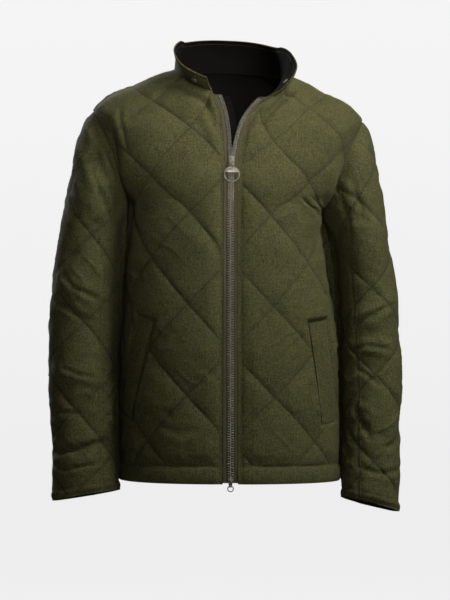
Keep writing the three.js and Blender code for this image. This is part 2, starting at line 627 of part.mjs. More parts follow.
const SLEEVE_ROWS = 2 * Math.round((4 * CELLS) + 1);
function sleeveLoopGrid(sideName) {
  const side = SLEEVE_SIDE[sideName];
  const loop = armhole(sideName);
  const shares = loopShares(loop);
  const folds = SLEEVE_FOLDS.filter((fold) => fold.side === sideName);
  const grid = [];
  for (let n = 0; n <= SLEEVE_ROWS; n++) {
    const share = n / SLEEVE_ROWS;
    grid.push(
      loop.map((start, k) => {
        const from = start.base.clone();
        from.z += SHOULDER_TILT * from.x;
        from.x -= NECK_LEAN * smooth(LEAN_STARTS_Z, 0, from.z);
        const z = lerp(from.z, cuffZ(shares[k], side), share);
        const own = sleeveSection(z, shares[k], side);
        const blend = smooth(0, CAP_BLEND, from.z - z);
        const point = own.point.clone();
        // Near the armhole the section is moved so that it starts on the seam.
        const begin = sleeveSection(from.z, shares[k], side).point;
        point.add(from.clone().sub(begin).multiplyScalar(1 - blend));
        const fall = Math.min(1, (from.z - z) / CAP_FULL_LENGTH);
        const outerShare = 1 - Math.abs(shares[k] - 1);
        point.x += side.sign * CAP_FULL * Math.sin(Math.PI * fall ** 0.7) * smooth(0.1, 0.6, outerShare);
        return { base: posture(point, 1), z, turn: shares[k], own, start };
      }),
    );
  }
  const width = loop.length;
  grid.forEach((row, n) =>
    row.forEach((cell, k) => {
      const right = row[(k + 1) % width].base;
      const left = row[(k + width - 1) % width].base;
      const below = grid[Math.min(SLEEVE_ROWS, n + 1)][k].base;
      const above = grid[Math.max(0, n - 1)][k].base;
      cell.normal = right.clone().sub(left).cross(below.clone().sub(above)).normalize();
      const outwards = cell.base.clone().setX(cell.base.x - side.sign * cell.own.middle).setZ(0);
      if (n > 2 && cell.normal.dot(outwards) < 0) cell.flip = true;
    }),
  );
  const flips = grid[SLEEVE_ROWS / 2].filter((cell) => cell.flip).length;
  if (flips > width / 2) grid.forEach((row) => row.forEach((cell) => cell.normal.negate()));
  grid.forEach((row, n) =>
    row.forEach((cell) => {
      const quarters = Math.abs(cell.turn - 0.5) * 2 * cell.own.quarterLength;
      cell.across = cell.turn < 0.5 ? -quarters : quarters; // outward from the front line
      const fromCap = row.length && cell.start.base.distanceTo(cell.base);
      const seam = Math.sqrt(Math.min(1, fromCap / SEAM_FLAT));
      const hem = Math.sqrt(Math.min(1, cell.base.distanceTo(grid.at(-1)[row.indexOf(cell)].base) / SEAM_FLAT));
      const innerSide = Math.min(Math.abs(cell.turn), Math.abs(2 - cell.turn));
      const pressed = lerp(ARM_PRESS, 1, smooth(0.12, 0.42, innerSide));
      const crossing = side.crossing_z + HALF_DIAMOND_SLEEVE;
      cell.puff = PUFF * quilt(cell.across, cell.z, HALF_DIAMOND_SLEEVE, crossing) * seam * hem * pressed;
      if (n) cell.base.addScaledVector(cell.normal, foldLift(folds, cell.across, cell.z) * seam * pressed);
    }),
  );
  // Along the armhole the wall's rim follows the body's where the two form a ridge.
  grid[0].forEach((cell) => {
    const { normal, inward } = cell.start;
    if (cell.normal.dot(inward) <= 0) cell.rimNormal = normal;
    cell.puff = 0;
    cell.normal = normal.clone();
    cell.base.addScaledVector(normal, SEAM_INSET + 0.1).addScaledVector(inward, -SEAM_INSET);
  });
  return grid;
}

// Cuts the sleeve's loop of columns into its upper and under pieces.
const UNDER_HALF = CELLS;
function sleevePieces(sideName) {
  const loop = sleeveLoopGrid(sideName);
  const width = loop[0].length;
  const take = (from, count) =>
    loop.map((row) =>
      Array.from({ length: count + 1 }, (_, k) => {
        const cell = row[(from + k + width) % width];
        return { ...cell, base: cell.base.clone(), normal: cell.normal.clone() };
      }),
    );
  const seamless = (grid) => {
    // The padding dies away at the two long seams.
    grid.forEach((row) => {
      for (const end of [0, row.length - 1]) row[end].puff = 0;
    });
    return grid;
  };
  return {
    upper: seamless(take(UNDER_HALF, width - 2 * UNDER_HALF)),
    under: seamless(take(-UNDER_HALF, 2 * UNDER_HALF)),
  };
}

for (const [name, grid] of Object.entries(bodyGrids))
  addMesh(name, wallGeometry(thicken(insetRim(grid))), COLOURS.shell);
for (const side of ["right", "left"]) {
  const { upper, under } = sleevePieces(side);
  addMesh(`upper_sleeve_${side}`, wallGeometry(thicken(insetRim(upper))), COLOURS.shell);
  addMesh(`under_sleeve_${side}`, wallGeometry(thicken(insetRim(under))), COLOURS.shell);
}

// Point and outward direction on a front, lifted off its stitch lines.
function onFront(up, across, side, depth) {
  const base = bodyPoint(up, across, "front", side);
  const normal = bodyNormal(up, Math.max(across, ZIP_EDGE + 1), "front", side);
  return { base: base.addScaledVector(normal, depth), normal, puff: 0 };
}

for (const [name, welt] of Object.entries(WELTS)) {
  const { length, down, out } = weltAxes(welt);
  const grid = [];
  for (let n = 0; n <= WELT_CELLS_LONG; n++)
    grid.push(
      Array.from({ length: WELT_CELLS_WIDE + 1 }, (_, m) => {
        const [t, w] = [n / WELT_CELLS_LONG, m / WELT_CELLS_WIDE];
        const across = welt.top_across + down[0] * t * length + out[0] * w * WELT_WIDTH;
        const up = welt.top_up + down[1] * t * length + out[1] * w * WELT_WIDTH;
        const bow = WELT_BOW * Math.sin(Math.PI * t) * Math.sin(Math.PI * w);
        const cell = onFront(up, across, name === "right" ? -1 : 1, WELT_CLEAR + WELT_THICK);
        const fold = foldLift(BODY_FOLDS.filter((f) => f.piece === "front_" + name), across, up);
        cell.base.addScaledVector(cell.normal, fold);
        return { ...cell, puff: bow };
      }),
    );
  addMesh(`welt_${name}`, wallGeometry(thicken(grid, WELT_THICK)), COLOURS.shell);
}

// Zip: tapes and rows of teeth up to the neck, following their own front's edge.
function zipStrip(side, from, to, top, bottom, upFrom, upTo) {
  const rows = BODY_ROWS.filter((up, k) => up > upFrom + 9 && up < upTo - 4 && (k % 2 || up > 480));
  const grid = [upFrom, ...rows, upTo].map((up) =>
    [from, to].map((across) => onFront(up, across, side, top)),
  );
  return wallGeometry(thicken(grid, top - bottom));
}
const ZIP_BOTTOM = 2;
const ZIP_TOP = NECK_UP - 9;
const TAPE_TOP = -CLOTH - 0.4;
const TEETH_TOP = TAPE_TOP + 0.3 + TEETH_THICK;
for (const [name, side] of [["right", -1], ["left", 1]]) {
  const tape = zipStrip(side, 0.2, ZIP_EDGE + TAPE_HIDDEN, TAPE_TOP, TAPE_TOP - TAPE_THICK, ZIP_BOTTOM, ZIP_TOP);
  addMesh(`zip_tape_${name}`, tape, COLOURS.tape);
  const teeth = zipStrip(side, 0.2, TEETH_HALF, TEETH_TOP, TEETH_TOP - TEETH_THICK, ZIP_BOTTOM, ZIP_TOP);
  addMesh(`zip_teeth_${name}`, teeth, COLOURS.brass, 1);
}

// Storm flap, fixed behind the right tape and reaching past the zip.
{
  const rows = [FLAP.from_up, ...BODY_ROWS.filter((up) => up > FLAP.from_up + 4 && up < ZIP_TOP - 4), ZIP_TOP];
  const grid = rows.map((up) =>
    [FLAP.inner, 0, FLAP.outer].map((across) => onFront(up, across, -1, -FLAP.depth)),
  );
  addMesh("storm_flap", wallGeometry(thicken(grid, FLAP.thick)), COLOURS.facing);
}

// The neck seam, from the right front end round the back to the left.
const neckRow = (name, reversed) => {
  const cells = bodyGrids[name].at(-1).map((cell) => cell.seam.clone());
  return reversed ? cells.reverse() : cells;
};
const neck = [
  ...neckRow("front_right"),
  ...neckRow("back").slice(1, -1),
  ...neckRow("front_left", true),
];
const neckLengths = neck.map(() => 0);
for (let k = 1; k < neck.length; k++)
  neckLengths[k] = neckLengths[k - 1] + neck[k].distanceTo(neck[k - 1]);
const neckMiddle = new THREE.Vector3(NECK_LEAN, 0, 0);

function collarGrid() {
  const grid = [];
  for (let n = 0; n <= COLLAR_ROWS; n++) {
    const share = n / COLLAR_ROWS;
    grid.push(
      neck.map((seam, k) => {
        const at = neckLengths[k] / neckLengths.at(-1);
        const row = rowAt(COLLAR, "at", at);
        const before = neck[Math.max(0, k - 1)];
        const after = neck[Math.min(neck.length - 1, k + 1)];
        const tangent = after.clone().sub(before).setZ(0).normalize();
        const out = new THREE.Vector3(tangent.y, -tangent.x, 0);
        if (out.dot(seam.clone().sub(neckMiddle)) < 0) out.negate();
        out.applyAxisAngle(new THREE.Vector3(0, 0, 1), (row.turn * Math.PI) / 180);
        const lean = (row.lean * Math.PI) / 180;
        const way = out.clone().multiplyScalar(Math.sin(lean)).setZ(Math.cos(lean));
        const face = out.clone().multiplyScalar(Math.cos(lean)).setZ(-Math.sin(lean));
        const bow = COLLAR_BOW * Math.sin(Math.PI * share);
        const base = seam
          .clone()
          .addScaledVector(way, 0.5 + row.height * share)
          .addScaledVector(face, bow);
        return { base, puff: 0 };
      }),
    );
  }
  grid.forEach((row, n) =>
    row.forEach((cell, k) => {
      const along = row[Math.min(row.length - 1, k + 1)].base.clone().sub(row[Math.max(0, k - 1)].base);
      const up = grid[Math.min(COLLAR_ROWS, n + 1)][k].base.clone().sub(grid[Math.max(0, n - 1)][k].base);
      cell.normal = along.cross(up).normalize();
      const outwards = neck[k].clone().sub(neckMiddle).setZ(0);
      cell.outwards = cell.normal.dot(outwards);
    }),
  );
  const turned = grid[1][Math.floor(neck.length / 2)].outwards < 0;
  if (turned) grid.forEach((row) => row.forEach((cell) => cell.normal.negate()));
  return grid;
}
const collarOuter = collarGrid();
addMesh("collar_shell", wallGeometry(thicken(collarOuter, COLLAR_CLOTH), 1), COLOURS.shell);
const facingOuter = collarOuter.map((row) =>
  row.map((cell) => {
    const base = cell.base.clone().addScaledVector(cell.normal, -COLLAR_CLOTH - FACING_GAP);
    return { base, normal: cell.normal.clone(), puff: 0 };
  }),
);
addMesh("collar_facing", wallGeometry(thicken(facingOuter, FACING_CLOTH), 1), COLOURS.facing);

// Press studs: the cap outside the collar's right end, the socket on the facing at its left end.
function snap(name, fromStart, depth, outward) {
  const target = outward ? fromStart : neckLengths.at(-1) - fromStart;
  let k = neckLengths.findIndex((length) => length >= target);
  if (k < 1) k = 1;
  const s = (target - neckLengths[k - 1]) / (neckLengths[k] - neckLengths[k - 1]);
  const level = SNAP_SHARE * COLLAR_ROWS;
  const n = Math.floor(level);
  const mix = (row) => row[k - 1].base.clone().lerp(row[k].base, s);
  const base = mix(collarOuter[n]).lerp(mix(collarOuter[n + 1]), level - n);
  const normal = collarOuter[n][k].normal.clone().add(collarOuter[n + 1][k - 1].normal).normalize();
  const disc = new THREE.CylinderGeometry(SNAP_RADIUS - 0.6, SNAP_RADIUS, SNAP_RISE, 24);
  const way = outward ? normal : normal.clone().negate();
  disc.applyQuaternion(new THREE.Quaternion().setFromUnitVectors(new THREE.Vector3(0, 1, 0), way));
  const centre = base.addScaledVector(normal, outward ? depth + SNAP_RISE / 2 : -depth - SNAP_RISE / 2);
  disc.translate(centre.x, centre.y, centre.z);
  addMesh(name, mergeVertices(bare(disc), 1e-4), COLOURS.brass, 1);
}
// Keeps only a geometry's positions and faces.
function bare(geometry) {
  const plain = new THREE.BufferGeometry().setAttribute("position", geometry.getAttribute("position"));
  return plain.setIndex(geometry.index);
}
snap("snap_cap", SNAP_FROM_END, 0.8, true);
snap("snap_socket", SNAP_FROM_END, COLLAR_CLOTH + FACING_GAP + FACING_CLOTH + 0.9, false);

// Sliders. Their own frame: x across, y outward from the plate's back, z up, 0 at the pull's hinge.
const PLATE = { width: 11, tall: 16, thick: 2.2, above_teeth: 0.6, corner: 2.4 };
const BAIL = { width: 2.4, half_height: 5.6, reach: 5, wall: 1.6 };
const HINGE_OUT = PLATE.thick + 1.8; // the pull's bar lies this far from the plate's back
function extruded(shape, depth) {
  return new THREE.ExtrudeGeometry(shape, { depth, bevelEnabled: false, curveSegments: 10 });
}
function manifoldOf(geometry) {
  const merged = mergeVertices(bare(geometry.index ? geometry : mergeVertices(geometry)), 1e-4);
  return new wasm.Manifold(
    new wasm.Mesh({
      numProp: 3,
      vertProperties: new Float32Array(merged.attributes.position.array),
      triVerts: new Uint32Array(merged.index.array),
    }),
  );
}
function geometryOf(solid) {
  const mesh = solid.getMesh();
  return new THREE.BufferGeometry()
    .setAttribute("position", new THREE.BufferAttribute(new Float32Array(mesh.vertProperties), 3))
    .setIndex([...mesh.triVerts]);
}
function box(x0, x1, y0, y1, z0, z1) {
  return new THREE.BoxGeometry(x1 - x0, y1 - y0, z1 - z0).translate(
    (x0 + x1) / 2,
    (y0 + y1) / 2,
    (z0 + z1) / 2,
  );
}
function roundedPlate(width, tall, corner, thick) {
  const [w, h] = [width / 2, tall / 2];
  const shape = new THREE.Shape();
  shape.moveTo(-w + corner, h);
  shape.lineTo(w - corner, h);
  shape.absarc(w - corner, h - corner, corner, Math.PI / 2, 0, true);
  shape.lineTo(w * 0.8, -h + corner);
  shape.absarc(w * 0.8 - corner, -h + corner, corner, 0, -Math.PI / 2, true);
  shape.lineTo(-w * 0.8 + corner, -h);
  shape.absarc(-w * 0.8 + corner, -h + corner, corner, -Math.PI / 2, -Math.PI, true);
  shape.lineTo(-w, h - corner);
  shape.absarc(-w + corner, h - corner, corner, Math.PI, Math.PI / 2, true);
  // The shape's y becomes z, and its depth becomes -y, so it is turned and moved outward.
  return extruded(shape, thick).rotateX(Math.PI / 2).translate(0, thick, 0);
}
function sliderGeometry(scale) {
  const inset = 0.3; // the bail's legs sink this far into the plate
  const top = PLATE.thick - inset;
  const bail = [
    box(-BAIL.width / 2, BAIL.width / 2, top, PLATE.thick + BAIL.reach, BAIL.half_height - BAIL.wall, BAIL.half_height),
    box(-BAIL.width / 2, BAIL.width / 2, top, PLATE.thick + BAIL.reach, -BAIL.half_height, -BAIL.half_height + BAIL.wall),
    box(
      -BAIL.width / 2,
      BAIL.width / 2,
      PLATE.thick + BAIL.reach - BAIL.wall,
      PLATE.thick + BAIL.reach,
      -BAIL.half_height,
      BAIL.half_height,
    ),
  ];
  let solid = manifoldOf(roundedPlate(PLATE.width, PLATE.tall, PLATE.corner, PLATE.thick));
  for (const piece of bail) solid = solid.add(manifoldOf(piece));
  return geometryOf(solid.scale([scale, scale, scale]));
}
// A flat ring with a slotted lug that hangs on the bail; its bar lies on the hinge line.
function pullGeometry(ring) {
  const centre = -ring.drop;
  const outline = new THREE.Shape();
  outline.absarc(0, centre, ring.radius, 0, 2 * Math.PI, false);
  const hole = new THREE.Shape();
  const start = Math.asin(ring.chord / ring.inner);
  hole.absarc(0, centre, ring.inner, Math.PI - start, 2 * Math.PI + start, false);
  const flat = (shape, thick) => extruded(shape, thick).rotateX(Math.PI / 2).translate(0, thick / 2, 0);
  const lugBottom = centre + ring.chord + 1;
  let solid = manifoldOf(flat(outline, ring.thick));
  solid = solid.add(manifoldOf(box(-ring.lug / 2, ring.lug / 2, -ring.thick / 2, ring.thick / 2, lugBottom, ring.bar)));
  solid = solid.subtract(manifoldOf(flat(hole, ring.thick + 2)));
  const slot = box(-ring.slot / 2, ring.slot / 2, -3, 3, -ring.slot_end, -ring.bar);
  return geometryOf(solid.subtract(manifoldOf(slot)));
}
const PULLS = {
  top: { radius: 13.5, inner: 9.3, chord: 3.5, drop: 24, thick: 2, lug: 7.4, slot: 4, slot_end: 8, bar: 1.1 },
  bottom: { radius: 5.6, inner: 3.4, chord: 2.2, drop: 11, thick: 1.2, lug: 6, slot: 3.4, slot_end: 5, bar: 0.8 },
};
const SLIDERS = {
  top: { up: SLIDER_UP, scale: 1 },
  bottom: { up: 4, scale: 0.72 },
};
const sliderFrames = {};
for (const [name, { up, scale }] of Object.entries(SLIDERS)) {
  const { base, normal } = onFront(up, 0, 1, TEETH_TOP + PLATE.above_teeth);
  const right = onFront(up, 0, -1, TEETH_TOP + PLATE.above_teeth);
  const origin = base.add(right.base).multiplyScalar(0.5);
  const out = normal.add(right.normal).setX(0).normalize();
  const upward = new THREE.Vector3(0, -out.z, out.y).multiplyScalar(out.y < 0 ? -1 : 1).normalize();
  const across = upward.clone().cross(out).negate();
  const frame = new THREE.Matrix4().makeBasis(across, out, upward).setPosition(origin);
  if (frame.determinant() < 0) frame.makeBasis(across.negate(), out, upward).setPosition(origin);
  sliderFrames[name] = frame;
  addMesh(`slider_${name}`, sliderGeometry(scale).applyMatrix4(frame), COLOURS.brass, 1);
  const hinge = new THREE.Vector3(0, HINGE_OUT * scale, 0);
  const pull = pullGeometry(PULLS[name]).translate(hinge.x, hinge.y, hinge.z).applyMatrix4(frame);
  addMesh(`pull_${name}`, pull, COLOURS.brass, 1);
  hinge.applyMatrix4(frame);
  group.userData[`hinge_${name}`] = hinge.toArray();
}

export default group;
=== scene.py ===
"""A quilted jacket as it is worn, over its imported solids: cloth, stitching, zip and studio."""

import math

import bpy
import numpy as np
from bpy.props import FloatProperty, FloatVectorProperty, PointerProperty
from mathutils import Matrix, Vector


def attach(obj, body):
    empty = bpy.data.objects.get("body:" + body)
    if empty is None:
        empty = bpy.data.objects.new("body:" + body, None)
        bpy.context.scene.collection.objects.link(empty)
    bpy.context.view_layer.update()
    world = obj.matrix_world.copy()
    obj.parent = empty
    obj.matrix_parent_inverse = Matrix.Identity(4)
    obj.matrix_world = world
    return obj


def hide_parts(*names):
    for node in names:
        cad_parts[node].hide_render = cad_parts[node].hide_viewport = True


bl_info = {
    "name": "Quilted jacket",
    "version": (1, 0, 0),
    "blender": (4, 5, 0),
    "location": "View3D > Sidebar > Jacket",
    "description": "Dresses the solids of a quilted jacket with cloth, stitching and a zip",
    "category": "Object",
}

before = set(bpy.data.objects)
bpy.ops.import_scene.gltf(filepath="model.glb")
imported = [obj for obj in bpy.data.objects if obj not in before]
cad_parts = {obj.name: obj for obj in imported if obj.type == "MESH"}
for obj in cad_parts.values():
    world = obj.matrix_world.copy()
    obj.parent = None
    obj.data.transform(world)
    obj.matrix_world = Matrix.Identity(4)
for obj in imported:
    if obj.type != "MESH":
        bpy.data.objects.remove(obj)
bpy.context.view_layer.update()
MM = 0.001

# Pattern of the jacket, in millimetres, the same values as its solids
ARMPIT_UP = 475.0
QUARTER_CLOTH = 262.5
DIAMOND_HALF_UP = 77.0
CROSSING_UP = 148.0
HEM_TURN = 30.0
SHOULDER_TILT = 0.036
TILT_FROM_Z, TILT_TO_Z = -820.0, -330.0
NECK_LEAN = 6.0
LEAN_FROM_Z = -260.0
SIDE_SHIFT = 7.0
SIDE_SHIFT_Z = (-430.0, -260.0)
ROUND_BODY = 2.35
ZIP_EDGE = 12.5
OPEN_FROM = 592.0
OPENING = {-1: (22.0, 15.0, 2.0), 1: (52.0, 32.0, 9.0)}  # spread, forward, fall
OPEN_REACH = 128.0
SHOULDER_UP, NECK_UP = 629.0, 764.0
ARMHOLE_CUT = {"front": 66.0, "back": 70.0}
CLOTH = 3.0
CAP_FULL, CAP_FULL_LENGTH, CAP_BLEND = 7.0, 90.0, 75.0
ROUND_SLEEVE = 2.15
CUFF_Z, CUFF_TILT, CUFF_LIFT = -727.0, 11.0, 5.0
SLEEVE_HALF_UP = 74.0
SLEEVE_SIDES = {-1: (-6.0, 1.0, -286.0), 1: (9.0, 1.0, -357.0)}  # inner, outer, crossing height
TEETH_THICK = 2.6
TAPE_TOP = -CLOTH - 0.4
TEETH_TOP = TAPE_TOP + 0.3 + TEETH_THICK
ZIP_TOP = NECK_UP - 9.0
COLLAR_CLOTH, COLLAR_BOW, COLLAR_LIFT = 2.4, 3.0, 0.25
FACING_CLOTH, FACING_GAP, FACING_DROP = 1.8, 0.35, 8.0
FLAP_FROM, FLAP_EDGES, FLAP_TOP, FLAP_CLOTH = 560.0, (-16.0, 20.0), -4.75, 1.6
TAPE_FROM, TAPE_EDGES, TAPE_CLOTH = 2.0, (0.9, ZIP_EDGE + 3.5), 1.0

BODY = np.array(
    # up, side_z, half_width, front, back, front_drop, back_drop
    [
        (0, -694, 187, 147, 141, 0, 0),
        (75, -620, 187, 148, 141, 0, 0),
        (175, -521, 185, 149, 140, 0, 0),
        (275, -422, 180, 149, 139, 0, 0),
        (375, -323, 171, 148, 140, 0, 0),
        (475, -225, 166, 147, 142, 0, 0),
        (514, -188, 188, 147, 141, 15, -1),
        (552, -149, 207, 145, 138, 30, 2),
        (591, -109, 221, 140, 132, 45, 7),
        (610, -89, 226, 137, 128, 52, 10),
        (629, -70, 228, 133, 124, 58, 13),
        (648, -55, 212, 128, 119, 60, 12),
        (667, -41, 192, 122, 112, 60, 11),
        (706, -22, 150, 109, 97, 51, 2),
        (744, -4, 110, 92, 81, 43, -6),
        (764, 5, 92, 82, 72, 38, -11),
    ],
    float,
)
SLEEVE = np.array(
    # z, inner_x, outer_x, half_depth, centre_y
    [
        (-60, 160, 228, 44, 2),
        (-95, 154, 239, 58, 2),
        (-145, 156, 253, 70, 3),
        (-190, 164, 264, 76, 4),
        (-240, 177, 273, 77, 5),
        (-335, 188, 288, 73, 6),
        (-430, 192, 297, 66, 2),
        (-525, 193, 299, 60, -10),
        (-620, 192, 294, 54, -24),
        (-700, 190, 293, 47, -36),
        (-750, 186, 293, 43, -42),
    ],
    float,
)
COLLAR = np.array(
    # share round the neck, height, lean outward, turn
    [
        (0, 34, 58, 0),
        (0.06, 44, 50, 0),
        (0.12, 48, 26, 0),
        (0.17, 50, 0, 0),
        (0.22, 50, -12, 0),
        (0.27, 50, -14, 0),
        (0.38, 50, -14, 0),
        (0.5, 50, -10, 0),
        (0.62, 50, -8, 0),
        (0.73, 47, -6, 0),
        (0.8, 45, 2, 0),
        (0.87, 45, 20, 14),
        (0.93, 46, 40, 30),
        (1, 38, 54, 40),
    ],
    float,
)
WELTS = {
    # top and bottom of the line that the welt lies along: across, up
    -1: (131.0, 270.0, 181.0, 106.0),
    1: (134.0, 276.0, 159.0, 102.0),
}
WELT_WIDTH, WELT_THICK, WELT_BOW, WELT_CLEAR = 42.0, 3.0, 1.6, 0.9
# How far the rows of stitches lie from a piece's edge
FRONT_STITCH, COLLAR_STITCH, WELT_STITCH = 5.5, 6.5, 5.5
# Mesh spacing of the collar and the welts
SMALL_MESH = 2.5

# Folds: points across and up on the flat cloth, half width, lift outward
BODY_FOLDS = {
    "front_right": [
        ([(226, 640), (212, 560)], 13, -5),
        ([(204, 640), (196, 575)], 14, 4),
        ([(214, 500), (232, 380)], 26, -6),
    ],
    "front_left": [
        ([(196, 560), (206, 470)], 14, 5),
        ([(170, 500), (190, 440)], 12, 4),
        ([(224, 500), (236, 330)], 24, -6),
        ([(60, 742), (100, 700)], 16, -7),
    ],
    "back": [
        ([(190, 560), (215, 430)], 20, 5),
        ([(-190, 560), (-215, 430)], 20, 5),
        ([(-60, 120), (70, 150)], 22, -4),
    ],
}
# Sleeve folds: points outward from the front line and height
SLEEVE_FOLDS = {
    -1: [
        ([(62, -95), (-22, -185)], 11, 5),
        ([(70, -130), (-14, -215)], 11, 5),
        ([(74, -165), (-5, -250)], 12, 4),
        ([(50, -365), (-40, -395)], 12, 4),
        ([(50, -512), (-40, -535)], 12, 4),
        ([(60, -655), (-50, -636)], 11, -5),
    ],
    1: [
        ([(40, -120), (-40, -225)], 12, 4),
        ([(58, -372), (-30, -412)], 12, 4),
        ([(30, -462), (-55, -458)], 12, 4),
        ([(30, -620), (-45, -585)], 11, -4),
    ],
}

# Sharper creases, in the same coordinates: points, half width and depth of the valley
BODY_CREASES = {
    "front_right": [
        ([(204, 663), (194, 628), (187, 592)], 6, 4.0),
        ([(50, 436), (30, 405), (12, 375)], 8, 1.8),
        ([(214, 470), (190, 430), (160, 412)], 7, 2.6),
        ([(222, 392), (196, 372), (168, 366)], 7, 2.2),
        ([(212, 300), (186, 296), (160, 288)], 7, 1.8),
        ([(110, 92), (80, 84), (48, 92)], 8, 1.5),
        ([(96, 716), (66, 675), (38, 648), (27, 606)], 9, 6.0),
        ([(60, 620), (44, 590), (34, 560)], 8, 1.8),
    ],
    "front_left": [
        ([(129, 502), (153, 472), (178, 459)], 6, 3.6),
        ([(150, 512), (172, 492), (190, 484)], 5, 2.4),
        ([(220, 420), (190, 396), (160, 392)], 7, 2.4),
        ([(214, 330), (186, 322), (162, 326)], 7, 2.6),
        ([(222, 250), (196, 238), (176, 244)], 6, 1.6),
        ([(112, 730), (80, 690), (63, 656), (40, 618)], 9, 7.0),
    ],
    "back": [
        ([(200, 520), (150, 470), (110, 452)], 9, 3.0),
        ([(-200, 520), (-150, 470), (-110, 452)], 9, 3.0),
        ([(190, 330), (120, 316), (70, 322)], 10, 2.2),
        ([(-190, 345), (-130, 326), (-60, 330)], 10, 2.2),
        ([(-30, 726), (30, 730)], 9, 2.0),
    ],
}
SLEEVE_CREASES = {
    -1: [
        ([(52, -92), (-1, -157), (-30, -184)], 6, 3.6),
        ([(38, -124), (-4, -191), (-30, -226)], 6, 3.6),
        ([(26, -158), (-1, -209), (-30, -262)], 6, 3.2),
        ([(60, -330), (22, -372), (-26, -396)], 6, 3.0),
        ([(74, -392), (40, -408), (-10, -430)], 6, 2.2),
        ([(31, -515), (8, -523), (-20, -528)], 6, 3.0),
        ([(80, -560), (40, -584), (10, -588)], 6, 2.4),
        ([(58, -654), (8, -649), (-30, -634)], 6, 4.6),
        ([(70, -676), (30, -682), (-14, -668)], 5, 2.6),
        ([(180, -150), (150, -260)], 9, 3.0),
        ([(190, -420), (140, -440), (100, -425)], 8, 3.4),
    ],
    1: [
        ([(-29, -203), (-21, -267)], 6, 3.4),
        ([(-4, -176), (2, -232)], 6, 2.0),
        ([(-34, -436), (-12, -409), (30, -385)], 7, 4.6),
        ([(-34, -462), (-10, -456), (22, -462)], 6, 3.4),
        ([(-34, -500), (-14, -506), (8, -524)], 6, 2.2),
        ([(-34, -560), (-22, -580), (-10, -614)], 6, 3.4),
        ([(66, -600), (40, -622), (6, -632)], 6, 2.2),
        ([(60, -664), (20, -672), (-20, -660)], 6, 2.8),
        ([(180, -150), (150, -260)], 9, 3.0),
        ([(190, -430), (140, -446), (100, -430)], 8, 3.4),
    ],
}
BODY_CREASE_DEPTH, SLEEVE_CREASE_DEPTH = 1.3, 1.7
# Where the chest's diamonds lie off their even spacing: shift, the heights that it grows
# between, and the widths that it fades between
CHEST_QUILT_RISE = (21.0, 460.0, 590.0, 90.0, 150.0)
# The same round each sleeve: shift and the heights that it grows between
SLEEVE_QUILT_TWIST = {-1: (27.0, -450.0, -700.0), 1: (-8.0, -250.0, -180.0)}
# How far the cloth fills the space between body and arm, behind the side seam
SIDE_FILL, SLEEVE_FILL = 19.0, 15.0
# How far the open right front swells out beside the zip, and between which heights
OPEN_EDGE_RISE, OPEN_EDGE_UP = 4.5, (590, 680)
# Distance from a seam over which the padding reaches its full height, and its lowest share
# where the arm presses on it
BODY_SEAM_EASE, SLEEVE_SEAM_EASE, CUFF_EASE, PRESSED_LEAST = 20, 18, 14, 0.35


# Small numeric tools
def smooth(low, high, value):
    """0 below one value, 1 above the other, on a smooth curve between."""
    share = np.clip((np.asarray(value, float) - low) / (high - low), 0, 1)
    return share * share * (3 - 2 * share)


def table_at(table, value):
    """Columns of a table at any value of its first column, on Catmull-Rom curves."""
    value = np.asarray(value, float)
    keys = table[:, 0]
    sign = 1.0 if keys[1] > keys[0] else -1.0
    i = np.clip(np.searchsorted(keys * sign, value * sign, side="left") - 1, 0, len(keys) - 2)
    b, c = table[i], table[i + 1]
    a, d = table[np.maximum(i - 1, 0)], table[np.minimum(i + 2, len(keys) - 1)]
    span = (c[..., 0] - b[..., 0])[..., None]
    s = np.clip((value - b[..., 0]) / span[..., 0], 0, 1)[..., None]
    slope_b = (c - a) / (c[..., :1] - a[..., :1]) * span
    slope_c = (d - b) / (d[..., :1] - b[..., :1]) * span
    s2, s3 = s * s, s * s * s
    mixed = (2 * s3 - 3 * s2 + 1) * b + (s3 - 2 * s2 + s) * slope_b
    mixed += (3 * s2 - 2 * s3) * c + (s3 - s2) * slope_c
    return np.moveaxis(mixed, -1, 0)[1:]


def hashed(ix, iy, seed):
    """A number from 0 to 1 for each whole place, the same for the same seed."""
    raw = np.sin(ix * 127.1 + iy * 311.7 + seed * 74.7) * 43758.5453
    return raw - np.floor(raw)


def noise(x, y, seed):
    """Smooth noise from -1 to 1, always the same for the same seed."""
    ix, iy = np.floor(x), np.floor(y)
    fx, fy = x - ix, y - iy
    fx = fx * fx * fx * (fx * (fx * 6 - 15) + 10)
    fy = fy * fy * fy * (fy * (fy * 6 - 15) + 10)
    low = hashed(ix, iy, seed) * (1 - fx) + hashed(ix + 1, iy, seed) * fx
    high = hashed(ix, iy + 1, seed) * (1 - fx) + hashed(ix + 1, iy + 1, seed) * fx
    return 2 * (low * (1 - fy) + high * fy) - 1


def unit(vectors):
    return vectors / np.maximum(np.linalg.norm(vectors, axis=-1, keepdims=True), 1e-9)


def grid_normals(points, wrap=False):
    """Normals of a grid of points, from the slopes along its rows and columns."""
    down = np.gradient(points, axis=0)
    if wrap:
        right = np.roll(points, -1, axis=1) - np.roll(points, 1, axis=1)
    else:
        right = np.gradient(points, axis=1)
    return unit(np.cross(right, down))


# Surface of the body along its stitch lines
QUARTER_STEPS = 65


def quarter(width, depth, roundness):
    """Points and lengths along a quarter of each superellipse, from the middle to the side."""
    angle = np.linspace(0, math.pi / 2, QUARTER_STEPS)
    x = width[..., None] * np.sin(angle) ** (2 / roundness)
    y = depth[..., None] * np.clip(np.cos(angle), 0, 1) ** (2 / roundness)
    steps = np.hypot(np.diff(x), np.diff(y))
    length = np.concatenate([np.zeros(x.shape[:-1] + (1,)), np.cumsum(steps, axis=-1)], axis=-1)
    return x, y, length


